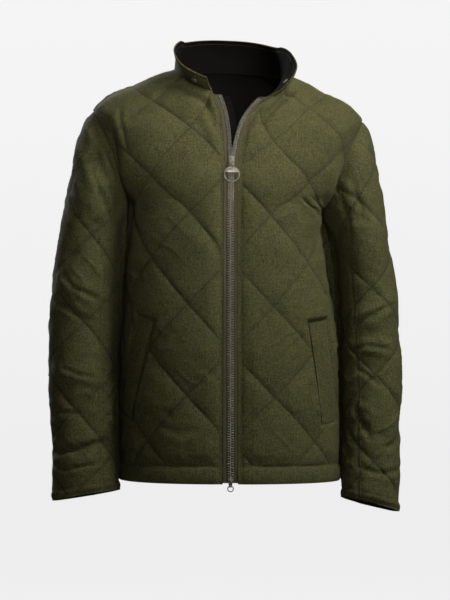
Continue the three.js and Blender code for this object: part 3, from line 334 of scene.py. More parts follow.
def along_quarter(curve, distance):
    """Points at given distances; distance has one more axis than the curve's own shape."""
    x, y, length = curve
    out_x, out_y = np.empty_like(distance), np.empty_like(distance)
    for n in range(len(length)):
        d = np.clip(distance[n], 0, length[n, -1])
        out_x[n] = np.interp(d, length[n], x[n])
        out_y[n] = np.interp(d, length[n], y[n])
    return out_x, out_y


def posture(points, whole_tilt=False):
    """Tilts the shoulders, leans the neck and shifts the lower sides, as the wearer stands."""
    x, z = points[..., 0], points[..., 2]
    tilt = 1.0 if whole_tilt else smooth(TILT_FROM_Z, TILT_TO_Z, z)
    lean = NECK_LEAN * smooth(LEAN_FROM_Z, 0, z)
    if not whole_tilt:
        lean = lean + SIDE_SHIFT * (1 - smooth(*SIDE_SHIFT_Z, z)) * np.minimum(1, (x / 180) ** 2)
    return np.stack([x + lean, points[..., 1], z - SHOULDER_TILT * x * tilt], axis=-1)


def cloth_edge(ups, face):
    """Flat width of the cloth at each height, its easing and its ring."""
    values = table_at(BODY, ups)
    depth = values[2] if face == "front" else values[3]
    curve = quarter(values[1], depth, ROUND_BODY)
    low = table_at(BODY, np.minimum(ups, ARMPIT_UP))
    low_depth = low[2] if face == "front" else low[3]
    ease = quarter(low[1], low_depth, ROUND_BODY)[2][..., -1] / QUARTER_CLOTH
    share = np.clip((ups - ARMPIT_UP) / (SHOULDER_UP - ARMPIT_UP), 0, 1)
    inset = ARMHOLE_CUT[face] * (4 * share * (1 - share)) ** 0.55
    return (curve[2][..., -1] - inset) / ease, ease, curve, values


def body_points(ups, across, face, side):
    """Body surface at heights ups (n) and flat widths across (n, m)."""
    _, ease, curve, values = cloth_edge(ups, face)
    flat_x, flat_y = along_quarter(curve, np.abs(across) * ease[:, None])
    depth = (values[2] if face == "front" else values[3])[:, None]
    drop = (values[4] if face == "front" else values[5])[:, None]
    fall = drop * (flat_y / depth) ** ROUND_BODY
    sign = -1.0 if face == "front" else 1.0
    x = np.where(across < 0, -1.0, 1.0) * side * flat_x
    points = np.stack([x, sign * flat_y, values[0][:, None] - fall], axis=-1)
    if face == "front":
        rise = np.clip((ups - OPEN_FROM) / (NECK_UP - OPEN_FROM), 0, 1)[:, None]
        grown = 0.25 * rise + 0.75 * rise**3
        left = np.clip(1 - (across - ZIP_EDGE) / OPEN_REACH, 0, 1) ** 1.5
        spread, forward, lowered = OPENING[side]
        points[..., 0] += side * spread * grown * left
        points[..., 1] -= forward * grown * left
        points[..., 2] -= lowered * grown * left
    return posture(points)


def cloth_heights(ups, points):
    """Flat cloth height of every grid point: the ring's own below the armpit, true length above."""
    steps = np.linalg.norm(np.diff(points, axis=0), axis=-1)
    below = (ups[1:] <= ARMPIT_UP + 1e-6)[:, None]
    steps = np.where(below, np.diff(ups)[:, None], steps)
    return np.concatenate([np.zeros((1, points.shape[1])), np.cumsum(steps, axis=0)]) + ups[0]


# Relief of the quilting
def line_distance(value, size):
    """Distance in mm from the nearest stitch line of a family; lines lie at odd values."""
    return np.abs(np.mod(value, 2) - 1) * size


def quilting(across, up, half_across, half_up, crossing, deep_sum):
    """Rise of the padding from 0 to 1, with the puckers that the stitching draws in."""
    a, b = across / half_across, (up - crossing) / half_up
    size = 1 / math.hypot(1 / half_across, 1 / half_up)
    far_sum, far_dif = line_distance(a + b, size), line_distance(a - b, size)
    deep, light = (far_sum, far_dif) if deep_sum else (far_dif, far_sum)
    rise = []
    for far, depth, power in ((deep, 1.0, 0.3), (light, 0.8, 0.36)):
        hill = np.sin(np.clip(far / size, 0, 1) * math.pi / 2) ** power
        rise.append(1 - depth * (1 - hill))
    along_sum = (a - b) * size / 2
    along_dif = (a + b) * size / 2
    row_sum, row_dif = np.floor((a + b) / 2) * 3.3, np.floor((a - b) / 2) * 3.3
    pucker = noise(along_sum / 5.5, far_sum / 26 + row_sum, 11) * np.exp(-far_sum / 11)
    pucker += noise(along_dif / 5.5, far_dif / 26 + row_dif, 12) * np.exp(-far_dif / 11)
    return rise[0] * rise[1], pucker * (1 - np.exp(-np.minimum(far_sum, far_dif) / 1.5))


def quilt_place(across, up, half_across, half_up, crossing):
    """Coordinates in which stitch lines lie where their sum or difference is odd."""
    return np.stack([across / half_across, (up - crossing) / half_up], axis=-1)


def crumple(across, up, seed):
    """Short sharp wrinkles on both diagonals, stronger in some places than in others."""
    total = np.zeros(np.shape(across))
    for turn, shift in ((0.75, 0), (-0.8, 40)):
        along = across * math.cos(turn) + up * math.sin(turn)
        over = up * math.cos(turn) - across * math.sin(turn)
        bend = 7 * noise(along / 37, over / 41, seed + shift + 1)
        sharp = 1 - np.abs(noise(along / 46, (over + bend) / 17, seed + shift + 2))
        patch = smooth(0.0, 0.55, noise(across / 63, up / 58, seed + shift + 3))
        total += (sharp**3 - 0.3) * patch
    return total


def crease_lift(creases, across, up):
    """Lift of the creases: a narrow valley between two low ridges, on a line that wavers."""
    wave = 3.0 * noise(across / 31, up / 29, 201)
    valleys = [(line, width, -depth) for line, width, depth in creases]
    ridges = [(line, 2.4 * width, 0.62 * depth) for line, width, depth in creases]
    return fold_lift(valleys, across + wave, up + wave) + fold_lift(ridges, across, up)


def fold_lift(folds, across, up):
    """Lift of the large folds: rounded ridges or valleys along short bent lines."""
    lift = np.zeros(np.shape(across))
    for points, width, height in folds:
        best = np.full(across.shape, 1e9)
        ends = np.zeros_like(across)
        count = len(points) - 1
        for k in range(count):
            (ax, ay), (bx, by) = points[k], points[k + 1]
            dx, dy = bx - ax, by - ay
            along = ((across - ax) * dx + (up - ay) * dy) / (dx * dx + dy * dy)
            held = np.clip(along, 0 if k else -0.5, 1 if k < count - 1 else 1.5)
            off = np.hypot(across - ax - held * dx, up - ay - held * dy)
            whole = (k + held) / count
            fade = smooth(-0.2, 0.22, whole) * (1 - smooth(0.78, 1.2, whole))
            nearer = off < best
            best = np.where(nearer, off, best)
            ends = np.where(nearer, fade, ends)
        lift += height * np.exp(-((best / width) ** 2)) * ends
    return lift


# Meshes
def steps_to(count, every):
    return sorted({*range(0, count, every), count})


def wall_mesh(name, outer, inner, uv, every=3, quilt=None, quilted=None, lined=None):
    """A closed wall: a fine outer grid, an inner grid of every few rows and columns, and rims."""
    rows, columns = outer.shape[0] - 1, outer.shape[1] - 1
    js, iis = steps_to(rows, every), steps_to(columns, every)
    outer_id = np.arange((rows + 1) * (columns + 1)).reshape(rows + 1, columns + 1)
    inner_id = np.arange(len(js) * len(iis)).reshape(len(js), len(iis)) + outer_id.size
    quads = np.stack(
        [outer_id[:-1, :-1], outer_id[:-1, 1:], outer_id[1:, 1:], outer_id[1:, :-1]], axis=-1
    ).reshape(-1, 4)
    back = np.stack(
        [inner_id[:-1, :-1], inner_id[1:, :-1], inner_id[1:, 1:], inner_id[:-1, 1:]], axis=-1
    ).reshape(-1, 4)
    faces = [tuple(q) for q in quads.tolist()] + [tuple(q) for q in back.tolist()]

    def rim(outer_line, inner_line, marks):
        for k in range(len(marks) - 1):
            span = outer_line[marks[k] : marks[k + 1] + 1]
            faces.append((inner_line[k], inner_line[k + 1], *span[::-1]))

    rim(outer_id[0, ::-1].tolist(), inner_id[0, ::-1].tolist(), [columns - i for i in iis[::-1]])
    rim(outer_id[:, 0].tolist(), inner_id[:, 0].tolist(), js)
    rim(outer_id[-1, :].tolist(), inner_id[-1, :].tolist(), iis)
    rim(outer_id[::-1, -1].tolist(), inner_id[::-1, -1].tolist(), [rows - j for j in js[::-1]])
    points = np.concatenate([outer.reshape(-1, 3), inner[np.ix_(js, iis)].reshape(-1, 3)])
    flat_uv = np.concatenate([uv.reshape(-1, 2), uv[np.ix_(js, iis)].reshape(-1, 2)])
    piece = mesh_object(name, points, faces, flat_uv)
    if quilt is not None:
        both = np.concatenate([quilt.reshape(-1, 2), quilt[np.ix_(js, iis)].reshape(-1, 2)])
        add_uv(piece.data, "Quilt", both)
        share = piece.data.attributes.new("Quilted", "FLOAT", "POINT")
        values = np.concatenate([quilted.ravel(), np.zeros(inner_id.size)])
        share.data.foreach_set("value", values.astype(np.float32))
    if lined is not None:
        # The inner faces above the turned hem show the lining, the piece's second material.
        slots = np.zeros(len(faces), np.int32)
        slots[len(quads) : len(quads) + len(back)] = lined[np.ix_(js, iis)][:-1, :-1].ravel()
        piece.data.polygons.foreach_set("material_index", slots)
    return piece


def add_uv(mesh, name, uv):
    layer = mesh.uv_layers.new(name=name)
    corner = np.empty(len(mesh.loops), np.int32)
    mesh.loops.foreach_get("vertex_index", corner)
    layer.data.foreach_set("uv", uv[corner].astype(np.float32).ravel())


def mesh_object(name, points, faces, uv=None, smooth_faces=True):
    """A mesh object in metres whose faces point out."""
    mesh = bpy.data.meshes.new(name)
    mesh.from_pydata((np.asarray(points) * MM).tolist(), [], faces)
    if uv is not None:
        add_uv(mesh, "Cloth", uv * MM)
    piece = bpy.data.objects.new(name, mesh)
    bpy.context.collection.objects.link(piece)
    if volume_of(mesh) < 0:
        mesh.flip_normals()
    if smooth_faces:
        mesh.shade_smooth()
    return piece


def tube_faces(rings, sides, base=0, closed_path=False):
    """Faces of a tube of rings, then its two ends unless its path is closed."""
    faces = []
    for ring in range(rings if closed_path else rings - 1):
        low, high = base + ring * sides, base + (ring + 1) % rings * sides
        for k in range(sides):
            m = (k + 1) % sides
            faces.append((low + k, low + m, high + m, high + k))
    if not closed_path:
        faces.append(tuple(base + k for k in range(sides))[::-1])
        faces.append(tuple(base + (rings - 1) * sides + k for k in range(sides)))
    return faces


def volume_of(mesh):
    mesh.calc_loop_triangles()
    places = np.empty(len(mesh.vertices) * 3)
    mesh.vertices.foreach_get("co", places)
    places = places.reshape(-1, 3)
    corners = np.empty(len(mesh.loop_triangles) * 3, np.int32)
    mesh.loop_triangles.foreach_get("vertices", corners)
    a, b, c = places[corners.reshape(-1, 3)].transpose(1, 0, 2)
    return float(np.einsum("ij,ij->i", a, np.cross(b, c)).sum())


def area_of(points):
    """Area of a grid of points in square metres."""
    u, v = points[1:, :-1] - points[:-1, :-1], points[:-1, 1:] - points[:-1, :-1]
    return float(np.linalg.norm(np.cross(u, v), axis=-1).sum()) * MM * MM


STITCH_SIDES = 4
STITCH_PROFILE = np.array(
    # share of the length, share of the radius, height in radii
    [(0.0, 0.5, -0.35), (0.2, 1.0, 0.15), (0.8, 1.0, 0.15), (1.0, 0.5, -0.35)]
)


def stitch_mesh(name, runs, radius=0.42, length=3.2, gap=1.1, sink=0.15):
    """Thread along surface runs: each run is (points, normals), cut into separate stitches."""
    points, faces = [], []
    for line, normals in runs:
        steps = np.linalg.norm(np.diff(line, axis=0), axis=1)
        total = np.concatenate([[0], np.cumsum(steps)])
        starts = np.arange(gap, total[-1] - length, length + gap)
        if not len(starts):
            continue
        where = starts[:, None] + STITCH_PROFILE[:, 0] * length
        centre = np.stack([np.interp(where, total, line[:, k]) for k in range(3)], axis=-1)
        up = unit(np.stack([np.interp(where, total, normals[:, k]) for k in range(3)], axis=-1))
        way = unit(centre[:, -1] - centre[:, 0])[:, None, :]
        side = unit(np.cross(np.broadcast_to(way, up.shape), up))
        size = STITCH_PROFILE[None, :, 1:2] * radius
        height = STITCH_PROFILE[None, :, 2:] * radius - sink
        ring = []
        for s in range(STITCH_SIDES):
            angle = 2 * math.pi * (s + 0.5) / STITCH_SIDES
            raised = math.sin(angle) * size * 0.8 + height
            ring.append(centre + side * math.cos(angle) * size + up * raised)
        rings = len(STITCH_PROFILE)
        for n in range(len(starts)):
            faces += tube_faces(rings, STITCH_SIDES, len(points) + n * rings * STITCH_SIDES)
        points.extend(np.stack(ring, axis=2).reshape(-1, 3).tolist())
    if not points:
        return None
    return mesh_object(name, points, faces)


# The body's quilted panels
PANELS = {}  # by name: the grid's flat coordinates, points and normals, for what lies on it


def panel_columns(start, spacing):
    count = int(round((QUARTER_CLOTH - start) / spacing))
    return np.linspace(0, 1, count + 1)


def panel_rows(spacing):
    rows = [np.zeros(1)]
    for low, high in ((0, ARMPIT_UP), (ARMPIT_UP, SHOULDER_UP), (SHOULDER_UP, NECK_UP)):
        rows.append(np.linspace(low, high, int(round((high - low) / spacing)) + 1)[1:])
    return np.concatenate(rows)


def welt_place(across, up, side):
    """Where a point of the flat cloth lies on the pocket welt: along it and across it, in mm."""
    top_across, top_up, bottom_across, bottom_up = WELTS[side]
    dx, dy = bottom_across - top_across, bottom_up - top_up
    length = math.hypot(dx, dy)
    down, out = (dx / length, dy / length), (-dy / length, dx / length)
    ex, ey = across - top_across, up - top_up
    return ex * down[0] + ey * down[1], ex * out[0] + ey * out[1], length, down, out


def quilt_height(name, across, up):
    """Height that the quilting's lines follow: on the open side's chest they run a little lower."""
    if name != "front_left":
        return up
    rise, low, high, near, far = CHEST_QUILT_RISE
    return up + rise * smooth(low, high, up) * (1 - smooth(near, far, across))


def body_relief(name, across, up, edge, top, sizes):
    """How far the outer cloth stands off the stitch lines' surface."""
    front = name != "back"
    half_across = sizes.diamond_half_across / MM
    height = quilt_height(name, across, up)
    deep_sum = name != "front_right"
    quilt, pucker = quilting(across, height, half_across, DIAMOND_HALF_UP, CROSSING_UP, deep_sum)
    ends = [edge - np.abs(across), top - up]
    if front:
        ends.append(across - ZIP_EDGE - FRONT_STITCH)
    away = np.clip(np.minimum.reduce(ends), 0, None)
    seam = np.sqrt(np.clip(away / BODY_SEAM_EASE, 0, 1))
    above = np.clip(up - HEM_TURN, 0, None)
    hem = np.sqrt(np.clip(above / BODY_SEAM_EASE, 0, 1))
    from_side = QUARTER_CLOTH - np.abs(across)
    pressed = PRESSED_LEAST + (1 - PRESSED_LEAST) * smooth(20, 110, from_side)
    pressed = pressed + (1 - pressed) * smooth(430, 530, up)
    puff = sizes.padding_rise / MM * quilt * np.minimum(seam, hem) * pressed
    # The turned hem is a low roll of its own, drawn in at its stitching.
    band = np.clip(up / HEM_TURN, 0, 1)
    roll = sizes.hem_roll / MM * np.clip(np.sin(math.pi * (0.16 + 0.84 * band)), 0, 1) ** 0.55
    roll += 0.7 * noise(across / 13, up / 40, 31) * np.sin(math.pi * band) ** 0.5
    relief = np.where(up < HEM_TURN, roll * np.clip(0.35 + seam, 0, 1), puff)
    # Puckers along seams and stitch lines, and slack lumps of padding.
    drawn = noise(across / 11, up / 7, 41) * np.exp(-(edge - np.abs(across)) / 12)
    drawn += noise(across / 6, up / 12, 42) * np.exp(-above / 10) * (up > HEM_TURN)
    if front:
        from_zip = np.clip(across - ZIP_EDGE, 0, None)
        drawn += 0.8 * noise(across / 16, up / 9, 43) * np.exp(-from_zip / 14)
    slack = noise(across / 34, up / 27, 51) + 0.5 * noise(across / 15, up / 13, 52)
    flat = seam * hem
    relief += 0.7 * pucker * flat + 0.6 * drawn * np.clip(away / 4, 0, 1) + 0.9 * slack * flat
    low = 0.35 + 0.65 * (1 - smooth(380, 560, up)) * smooth(40, 120, np.abs(across))
    wrinkles = crumple(across, up, 300 + len(name))
    relief += sizes.crumple_rise / MM * wrinkles * flat * low * np.sqrt(quilt)
    # A small edge radius where the cloth turns in at the zip and the hem.
    if front:
        edge_in = np.clip(across - ZIP_EDGE, 0, 2.2)
        relief -= 1.1 * (1 - edge_in / 2.2) ** 2
        seam_line = np.abs(across - ZIP_EDGE - FRONT_STITCH)
        relief -= 0.7 * np.exp(-((seam_line / 1.3) ** 2))
        relief += 1.0 * np.exp(-(((across - ZIP_EDGE - 2.8) / 2.2) ** 2))
    bottom_in = np.clip(up, 0, 2.5)
    return relief - 1.3 * (1 - bottom_in / 2.5) ** 2


def under_welt(across, up, side):
    """1 where the pocket welt covers the cloth, fading to 0 beside it."""
    along, off, length, _, _ = welt_place(across, up, side)
    beyond = np.maximum.reduce([-along, along - length, -off, off - WELT_WIDTH])
    return 1 - smooth(0, 7, beyond)


def build_panel(name, sizes):
    """A front or the back: its wall, and its grid kept in PANELS."""
    face = "back" if name == "back" else "front"
    side = {"front_right": -1, "front_left": 1, "back": 1}[name]
    spacing = sizes.cloth_mesh / MM
    ups = panel_rows(spacing)
    start = ZIP_EDGE if face == "front" else 0.0
    shares = panel_columns(start, spacing)
    if face == "back":
        shares = np.concatenate([-shares[:0:-1], shares])
    edge = cloth_edge(ups, face)[0][:, None]
    across = start + (edge - start) * shares if face == "front" else edge * shares
    base = body_points(ups, across, face, side)
    up = cloth_heights(ups, base)
    normals = grid_normals(base) * (side if face == "front" else -1.0)
    top = up[-1][None, :]
    relief = body_relief(name, across, up, edge, top, sizes)
    if face == "front":
        relief *= 1 - under_welt(across, up, side)
    inside = np.minimum(edge - np.abs(across), top - up)
    folds = fold_lift(BODY_FOLDS[name], across, up) * smooth(0, 20, inside)
    base = base + normals * folds[..., None]
    creases = BODY_CREASE_DEPTH * crease_lift(BODY_CREASES[name], across, up)
    if name == "front_right":
        near = 1 - smooth(2, 30, across - ZIP_EDGE)
        creases = creases + OPEN_EDGE_RISE * near * smooth(*OPEN_EDGE_UP, up)
    if face == "back":
        from_side = edge - np.abs(across)
        fill = np.exp(-(((from_side - 28) / 20) ** 2)) * smooth(0, 10, from_side)
        creases = creases + SIDE_FILL * fill * smooth(-30, 60, up) * (1 - smooth(475, 525, up))
    outer = base + normals * (relief + creases * smooth(0, 18, inside))[..., None]
    inner = base - normals * CLOTH
    uv = np.stack([across, up], axis=-1)
    height = quilt_height(name, across, up)
    half_across = sizes.diamond_half_across / MM
    quilt = quilt_place(across, height, half_across, DIAMOND_HALF_UP, CROSSING_UP)
    quilted = smooth(0, 4, np.minimum(inside, up - HEM_TURN))
    if face == "front":
        quilted = quilted * (1 - under_welt(across, up, side)) * smooth(5, 7, across - ZIP_EDGE)
    # Seen from the front, sums are then the lines that fall to the viewer's right on both fronts.
    way = np.array([side, 1])
    piece = wall_mesh("quilted_" + name, outer, inner, uv, 3, quilt * way, quilted, up > HEM_TURN)
    PANELS[name] = {
        "quilt": quilt,
        "quilted": quilted,
        "across": across,
        "up": up,
        "outer": outer,
        "normals": normals,
        "base": base,
        "area": area_of(base),
    }
    return piece


def sample(values, rows, columns):
    """Values of a grid at fractional rows and columns."""
    j = np.clip(np.floor(rows).astype(int), 0, values.shape[0] - 2)
    i = np.clip(np.floor(columns).astype(int), 0, values.shape[1] - 2)
    t, u = (rows - j)[:, None], (columns - i)[:, None]
    low = values[j, i] * (1 - u) + values[j, i + 1] * u
    high = values[j + 1, i] * (1 - u) + values[j + 1, i + 1] * u
    return low * (1 - t) + high * t


def grid_run(grid, rows, columns):
    rows = np.broadcast_to(np.asarray(rows, float), np.broadcast(rows, columns).shape)
    columns = np.broadcast_to(np.asarray(columns, float), rows.shape)
    return sample(grid["outer"], rows, columns), sample(grid["normals"], rows, columns)


def quilt_runs(grid):
    """The quilting's stitch lines on a grid, each as points and normals, where it is quilted."""
    runs = []
    quilt, quilted = grid["quilt"], grid["quilted"]
    columns = np.arange(quilt.shape[1])
    for sign in (1, -1):
        value = quilt[..., 0] + sign * quilt[..., 1]
        low, high = int(math.ceil(value.min())), int(math.floor(value.max()))
        for odd in range(low + (low + 1) % 2, high + 1, 2):
            places = []
            for j in range(value.shape[0]):
                line = value[j]
                if line[0] <= odd <= line[-1]:
                    i = float(np.interp(odd, line, columns))
                    if quilted[j, int(round(i))] > 0.5:
                        places.append((j, i))
                        continue
                if len(places) > 3:
                    runs.append(grid_run(grid, *np.array(places, float).T))
                places = []
            if len(places) > 3:
                runs.append(grid_run(grid, *np.array(places, float).T))
    return runs


# Sleeves
def armhole_loop(side, half):
    """Armhole as a loop: from the armpit up the front, over the shoulder and down the back."""
    ups = np.linspace(ARMPIT_UP, SHOULDER_UP, half + 1)
    front = body_points(ups, cloth_edge(ups, "front")[0][:, None], "front", side)[:, 0]
    back = body_points(ups, cloth_edge(ups, "back")[0][:, None], "back", side)[:, 0]
    return np.concatenate([front, back[-2:0:-1]])


def sleeve_section(z, turn, side):
    """Sleeve section points at heights z and turns, both (n, m): 0 inner, 0.5 front, 1 outer."""
    inner, outer, _ = SLEEVE_SIDES[side]
    values = table_at(SLEEVE, z)
    grown = smooth(80, 300, -z)
    inner_x, outer_x = values[0] + inner * grown, values[1] + outer * grown
    half, middle = (outer_x - inner_x) / 2, (outer_x + inner_x) / 2
    x, y, length = quarter(half, values[2], ROUND_SLEEVE)
    turned = np.mod(turn * 2, 4)
    which = np.floor(turned).astype(int)
    part = turned - which
    share = np.where(which % 2 == 1, part, 1 - part)
    target = (share * length[..., -1])[..., None]
    k = np.clip((length < target).sum(axis=-1), 1, QUARTER_STEPS - 1)[..., None]
    l0, l1 = np.take_along_axis(length, k - 1, -1), np.take_along_axis(length, k, -1)
    s = ((target - l0) / np.maximum(l1 - l0, 1e-9))[..., 0]

    def between(values):
        low, high = np.take_along_axis(values, k - 1, -1), np.take_along_axis(values, k, -1)
        return low[..., 0] * (1 - s) + high[..., 0] * s

    px, py = between(x), between(y)
    out = np.where((which == 1) | (which == 2), 1.0, -1.0)
    front = np.where(which < 2, -1.0, 1.0)
    points = np.stack([side * (middle + out * px), values[3] + front * py, z], axis=-1)
    return points, length[..., -1], out * px / half, -front * py / values[2]


SLEEVES = {}  # by name: the grid's quilting, points and normals, for the stitches on it
UNDER_TURN = 1 / 3  # share of half the loop that the under sleeve takes
CUFF_EDGE = 4.0  # the quilting ends so far above the cuff
ARMHOLE_HALF, SLEEVE_LENGTH = 190, 660  # lengths that set the number of columns and rows


def build_sleeve(side, sizes):
    """Both pieces of a sleeve with their areas; their grids are kept in SLEEVES."""
    spacing = sizes.cloth_mesh / MM
    half = 12 * int(round(ARMHOLE_HALF / spacing / 12))
    loop = armhole_loop(side, half)
    steps = np.linalg.norm(np.roll(loop, -1, axis=0) - loop, axis=1)
    total = np.concatenate([[0], np.cumsum(steps)])
    turn = np.where(
        np.arange(2 * half) <= half,
        total[:-1] / total[half],
        1 + (total[:-1] - total[half]) / (total[-1] - total[half]),
    )
    start = loop.copy()
    start[:, 2] += SHOULDER_TILT * start[:, 0]
    start[:, 0] -= NECK_LEAN * smooth(LEAN_FROM_Z, 0, start[:, 2])
    cuff_z = np.full((1, 2 * half), CUFF_Z)
    _, _, outward, forward = sleeve_section(cuff_z, turn[None, :], side)
    cuff = CUFF_Z - CUFF_TILT * outward + CUFF_LIFT * forward
    rows = int(round(SLEEVE_LENGTH / spacing))
    share = np.linspace(0, 1, rows + 1)[:, None]
    z = start[None, :, 2] * (1 - share) + cuff * share
    turns = np.broadcast_to(turn[None, :], z.shape)
    own, quarter_length, _, _ = sleeve_section(z, turns, side)
    begin, _, _, _ = sleeve_section(start[None, :, 2], turn[None, :], side)
    fall = start[None, :, 2] - z
    blend = smooth(0, CAP_BLEND, fall)[..., None]
    points = own + (start[None] - begin) * (1 - blend)
    full = CAP_FULL * np.sin(math.pi * np.clip(fall / CAP_FULL_LENGTH, 0, 1) ** 0.7)
    points[..., 0] += side * full * smooth(0.1, 0.6, 1 - np.abs(turns - 1))
    points = posture(points, whole_tilt=True)
    normals = grid_normals(points, wrap=True)
    middle = points.mean(axis=1, keepdims=True)
    if np.einsum("ijk,ijk->ij", normals[rows // 2 :], (points - middle)[rows // 2 :]).mean() < 0:
        normals = -normals
    across = (turns - 0.5) * 2 * quarter_length
    relief, cap = sleeve_relief(side, across, z, turns, points, quarter_length, sizes)
    folds = fold_lift(SLEEVE_FOLDS[side], across, z)
    base = points + normals * (folds * smooth(0, 25, cap))[..., None]
    creases = SLEEVE_CREASE_DEPTH * crease_lift(SLEEVE_CREASES[side], across, z)
    behind = np.exp(-(((2 - turns) - 0.17) / 0.13) ** 2)
    creases = creases + SLEEVE_FILL * behind * smooth(20, 90, cap) * smooth(10, 90, cap[-1:] - cap)
    outer = base + normals * (relief + creases * smooth(0, 20, cap))[..., None]
    inner = base - normals * CLOTH
    uv = np.stack([across, z], axis=-1)
    crossing = SLEEVE_SIDES[side][2] + SLEEVE_HALF_UP
    turned = across - quilt_twist(side, z)
    half_across = sizes.diamond_half_across / MM
    quilt = quilt_place(turned, z, half_across, SLEEVE_HALF_UP, crossing)
    cuff_way = cap[-1:] - cap
    quilted = smooth(0, 4, np.minimum(cap, cuff_way - CUFF_EDGE))
    under = half // 3
    # The under sleeve takes a third of each half of the loop round the inner seam line.
    pieces = {}
    spans = {
        "upper": np.arange(under, 2 * half - under + 1),
        "under": np.arange(-under, under + 1),
    }
    word = "right" if side < 0 else "left"
    for part, columns in spans.items():
        columns = columns % (2 * half)
        back = (turns[:, columns] > 1.5) & (part == "under")
        shift = np.where(back, 4 * quarter_length[:, columns], 0)
        piece_uv, piece_quilt = uv[:, columns].copy(), quilt[:, columns].copy()
        piece_uv[..., 0] -= shift
        piece_quilt[..., 0] -= shift / half_across
        name = f"{part}_sleeve_{word}"
        below = cuff_way[:, columns] > HEM_TURN
        way = np.array([side, 1])
        piece = wall_mesh(
            "quilted_" + name,
            outer[:, columns],
            inner[:, columns],
            piece_uv,
            3,
            piece_quilt * way,
            quilted[:, columns],
            below,
        )
        pieces[part] = (piece, area_of(base[:, columns]))
        SLEEVES[name] = {
            "outer": outer[:, columns],
            "normals": normals[:, columns],
            "quilt": piece_quilt,
            "quilted": quilted[:, columns],
        }
    return pieces


def quilt_twist(side, z):
    """How far round the sleeve its quilting has turned at a height."""
    shift, high, low = SLEEVE_QUILT_TWIST[side]
    return shift * np.clip((z - high) / (low - high), 0, 1)


def sleeve_relief(side, across, z, turns, points, quarter_length, sizes):
    """How far the outer cloth stands off its surface, and its distance from the armhole."""
    steps = np.linalg.norm(np.diff(points, axis=0), axis=-1)
    cap = np.concatenate([np.zeros((1, points.shape[1])), np.cumsum(steps, axis=0)])
    cuff = cap[-1:] - cap
    crossing = SLEEVE_SIDES[side][2] + SLEEVE_HALF_UP
    wrapped = np.where(turns > 1.5, across - 4 * quarter_length, across)
    turned = wrapped - quilt_twist(side, z)
    half_across = sizes.diamond_half_across / MM
    quilt, pucker = quilting(turned, z, half_across, SLEEVE_HALF_UP, crossing, side > 0)
    # The two long seams lie a third of the way from the inner line.
    seam_turn = np.minimum(np.abs(turns - UNDER_TURN), np.abs(2 - turns - UNDER_TURN))
    seam_off = seam_turn * 2 * quarter_length
    ends = np.minimum(cap, seam_off)
    long_seam = 0.5 + 0.5 * np.sqrt(np.clip(seam_off / 14, 0, 1))
    seam = np.minimum(np.sqrt(np.clip(cap / SLEEVE_SEAM_EASE, 0, 1)), long_seam)
    hem = np.clip((cuff - CUFF_EDGE) / CUFF_EASE, 0, 1) ** 0.5
    inner_side = np.minimum(turns, 2 - turns)
    pressed = PRESSED_LEAST + (1 - PRESSED_LEAST) * smooth(0.12, 0.42, inner_side)
    calm = 1 - 0.5 * np.exp(-(((turns - 1) / 0.2) ** 2))
    puff = sizes.padding_rise / MM * quilt * seam * hem * pressed * calm
    band = np.clip(cuff / CUFF_EASE, 0, 1)
    roll = sizes.hem_roll / MM * 0.5 * np.clip(np.sin(math.pi * (0.2 + 0.8 * band)), 0, 1) ** 0.55
    relief = puff + roll * (cuff < CUFF_EASE) * seam
    drawn = noise(across / 7, z / 12, 61) * np.exp(-cap / 13)
    drawn += noise(across / 12, z / 7, 62) * np.exp(-seam_off / 12)
    slack = noise(wrapped / 30, z / 22, 71) + 0.5 * noise(wrapped / 14, z / 11, 72)
    relief += 0.7 * pucker * seam * hem + 0.8 * drawn * np.clip(ends / 4, 0, 1) + 0.9 * slack * seam
    wrinkles = crumple(wrapped, z, 330 + side)
    relief += 1.2 * sizes.crumple_rise / MM * wrinkles * seam * np.sqrt(quilt) * calm
    return relief, cap


# Collar, welts, flap and zip
def on_front(up, across, side, depth):
    """Points and outward normals on a front's stitch-line surface, lifted off by a depth."""
    up, across = np.broadcast_arrays(np.asarray(up, float), np.asarray(across, float))
    flat_up, flat_across = up.ravel(), across.ravel()

    def at(heights, widths):
        return body_points(heights, widths[:, None], "front", side)[:, 0]

    low, high = np.clip(flat_up - 0.5, 0, NECK_UP), np.clip(flat_up + 0.5, 0, NECK_UP)
    held = np.maximum(flat_across, ZIP_EDGE + 1)
    rise = at(high, held) - at(low, held)
    run = at(flat_up, held + 0.5) - at(flat_up, held - 0.5)
    normals = unit(np.cross(run, rise)) * side
    points = at(flat_up, flat_across) + normals * depth
    return points.reshape(up.shape + (3,)), normals.reshape(up.shape + (3,))


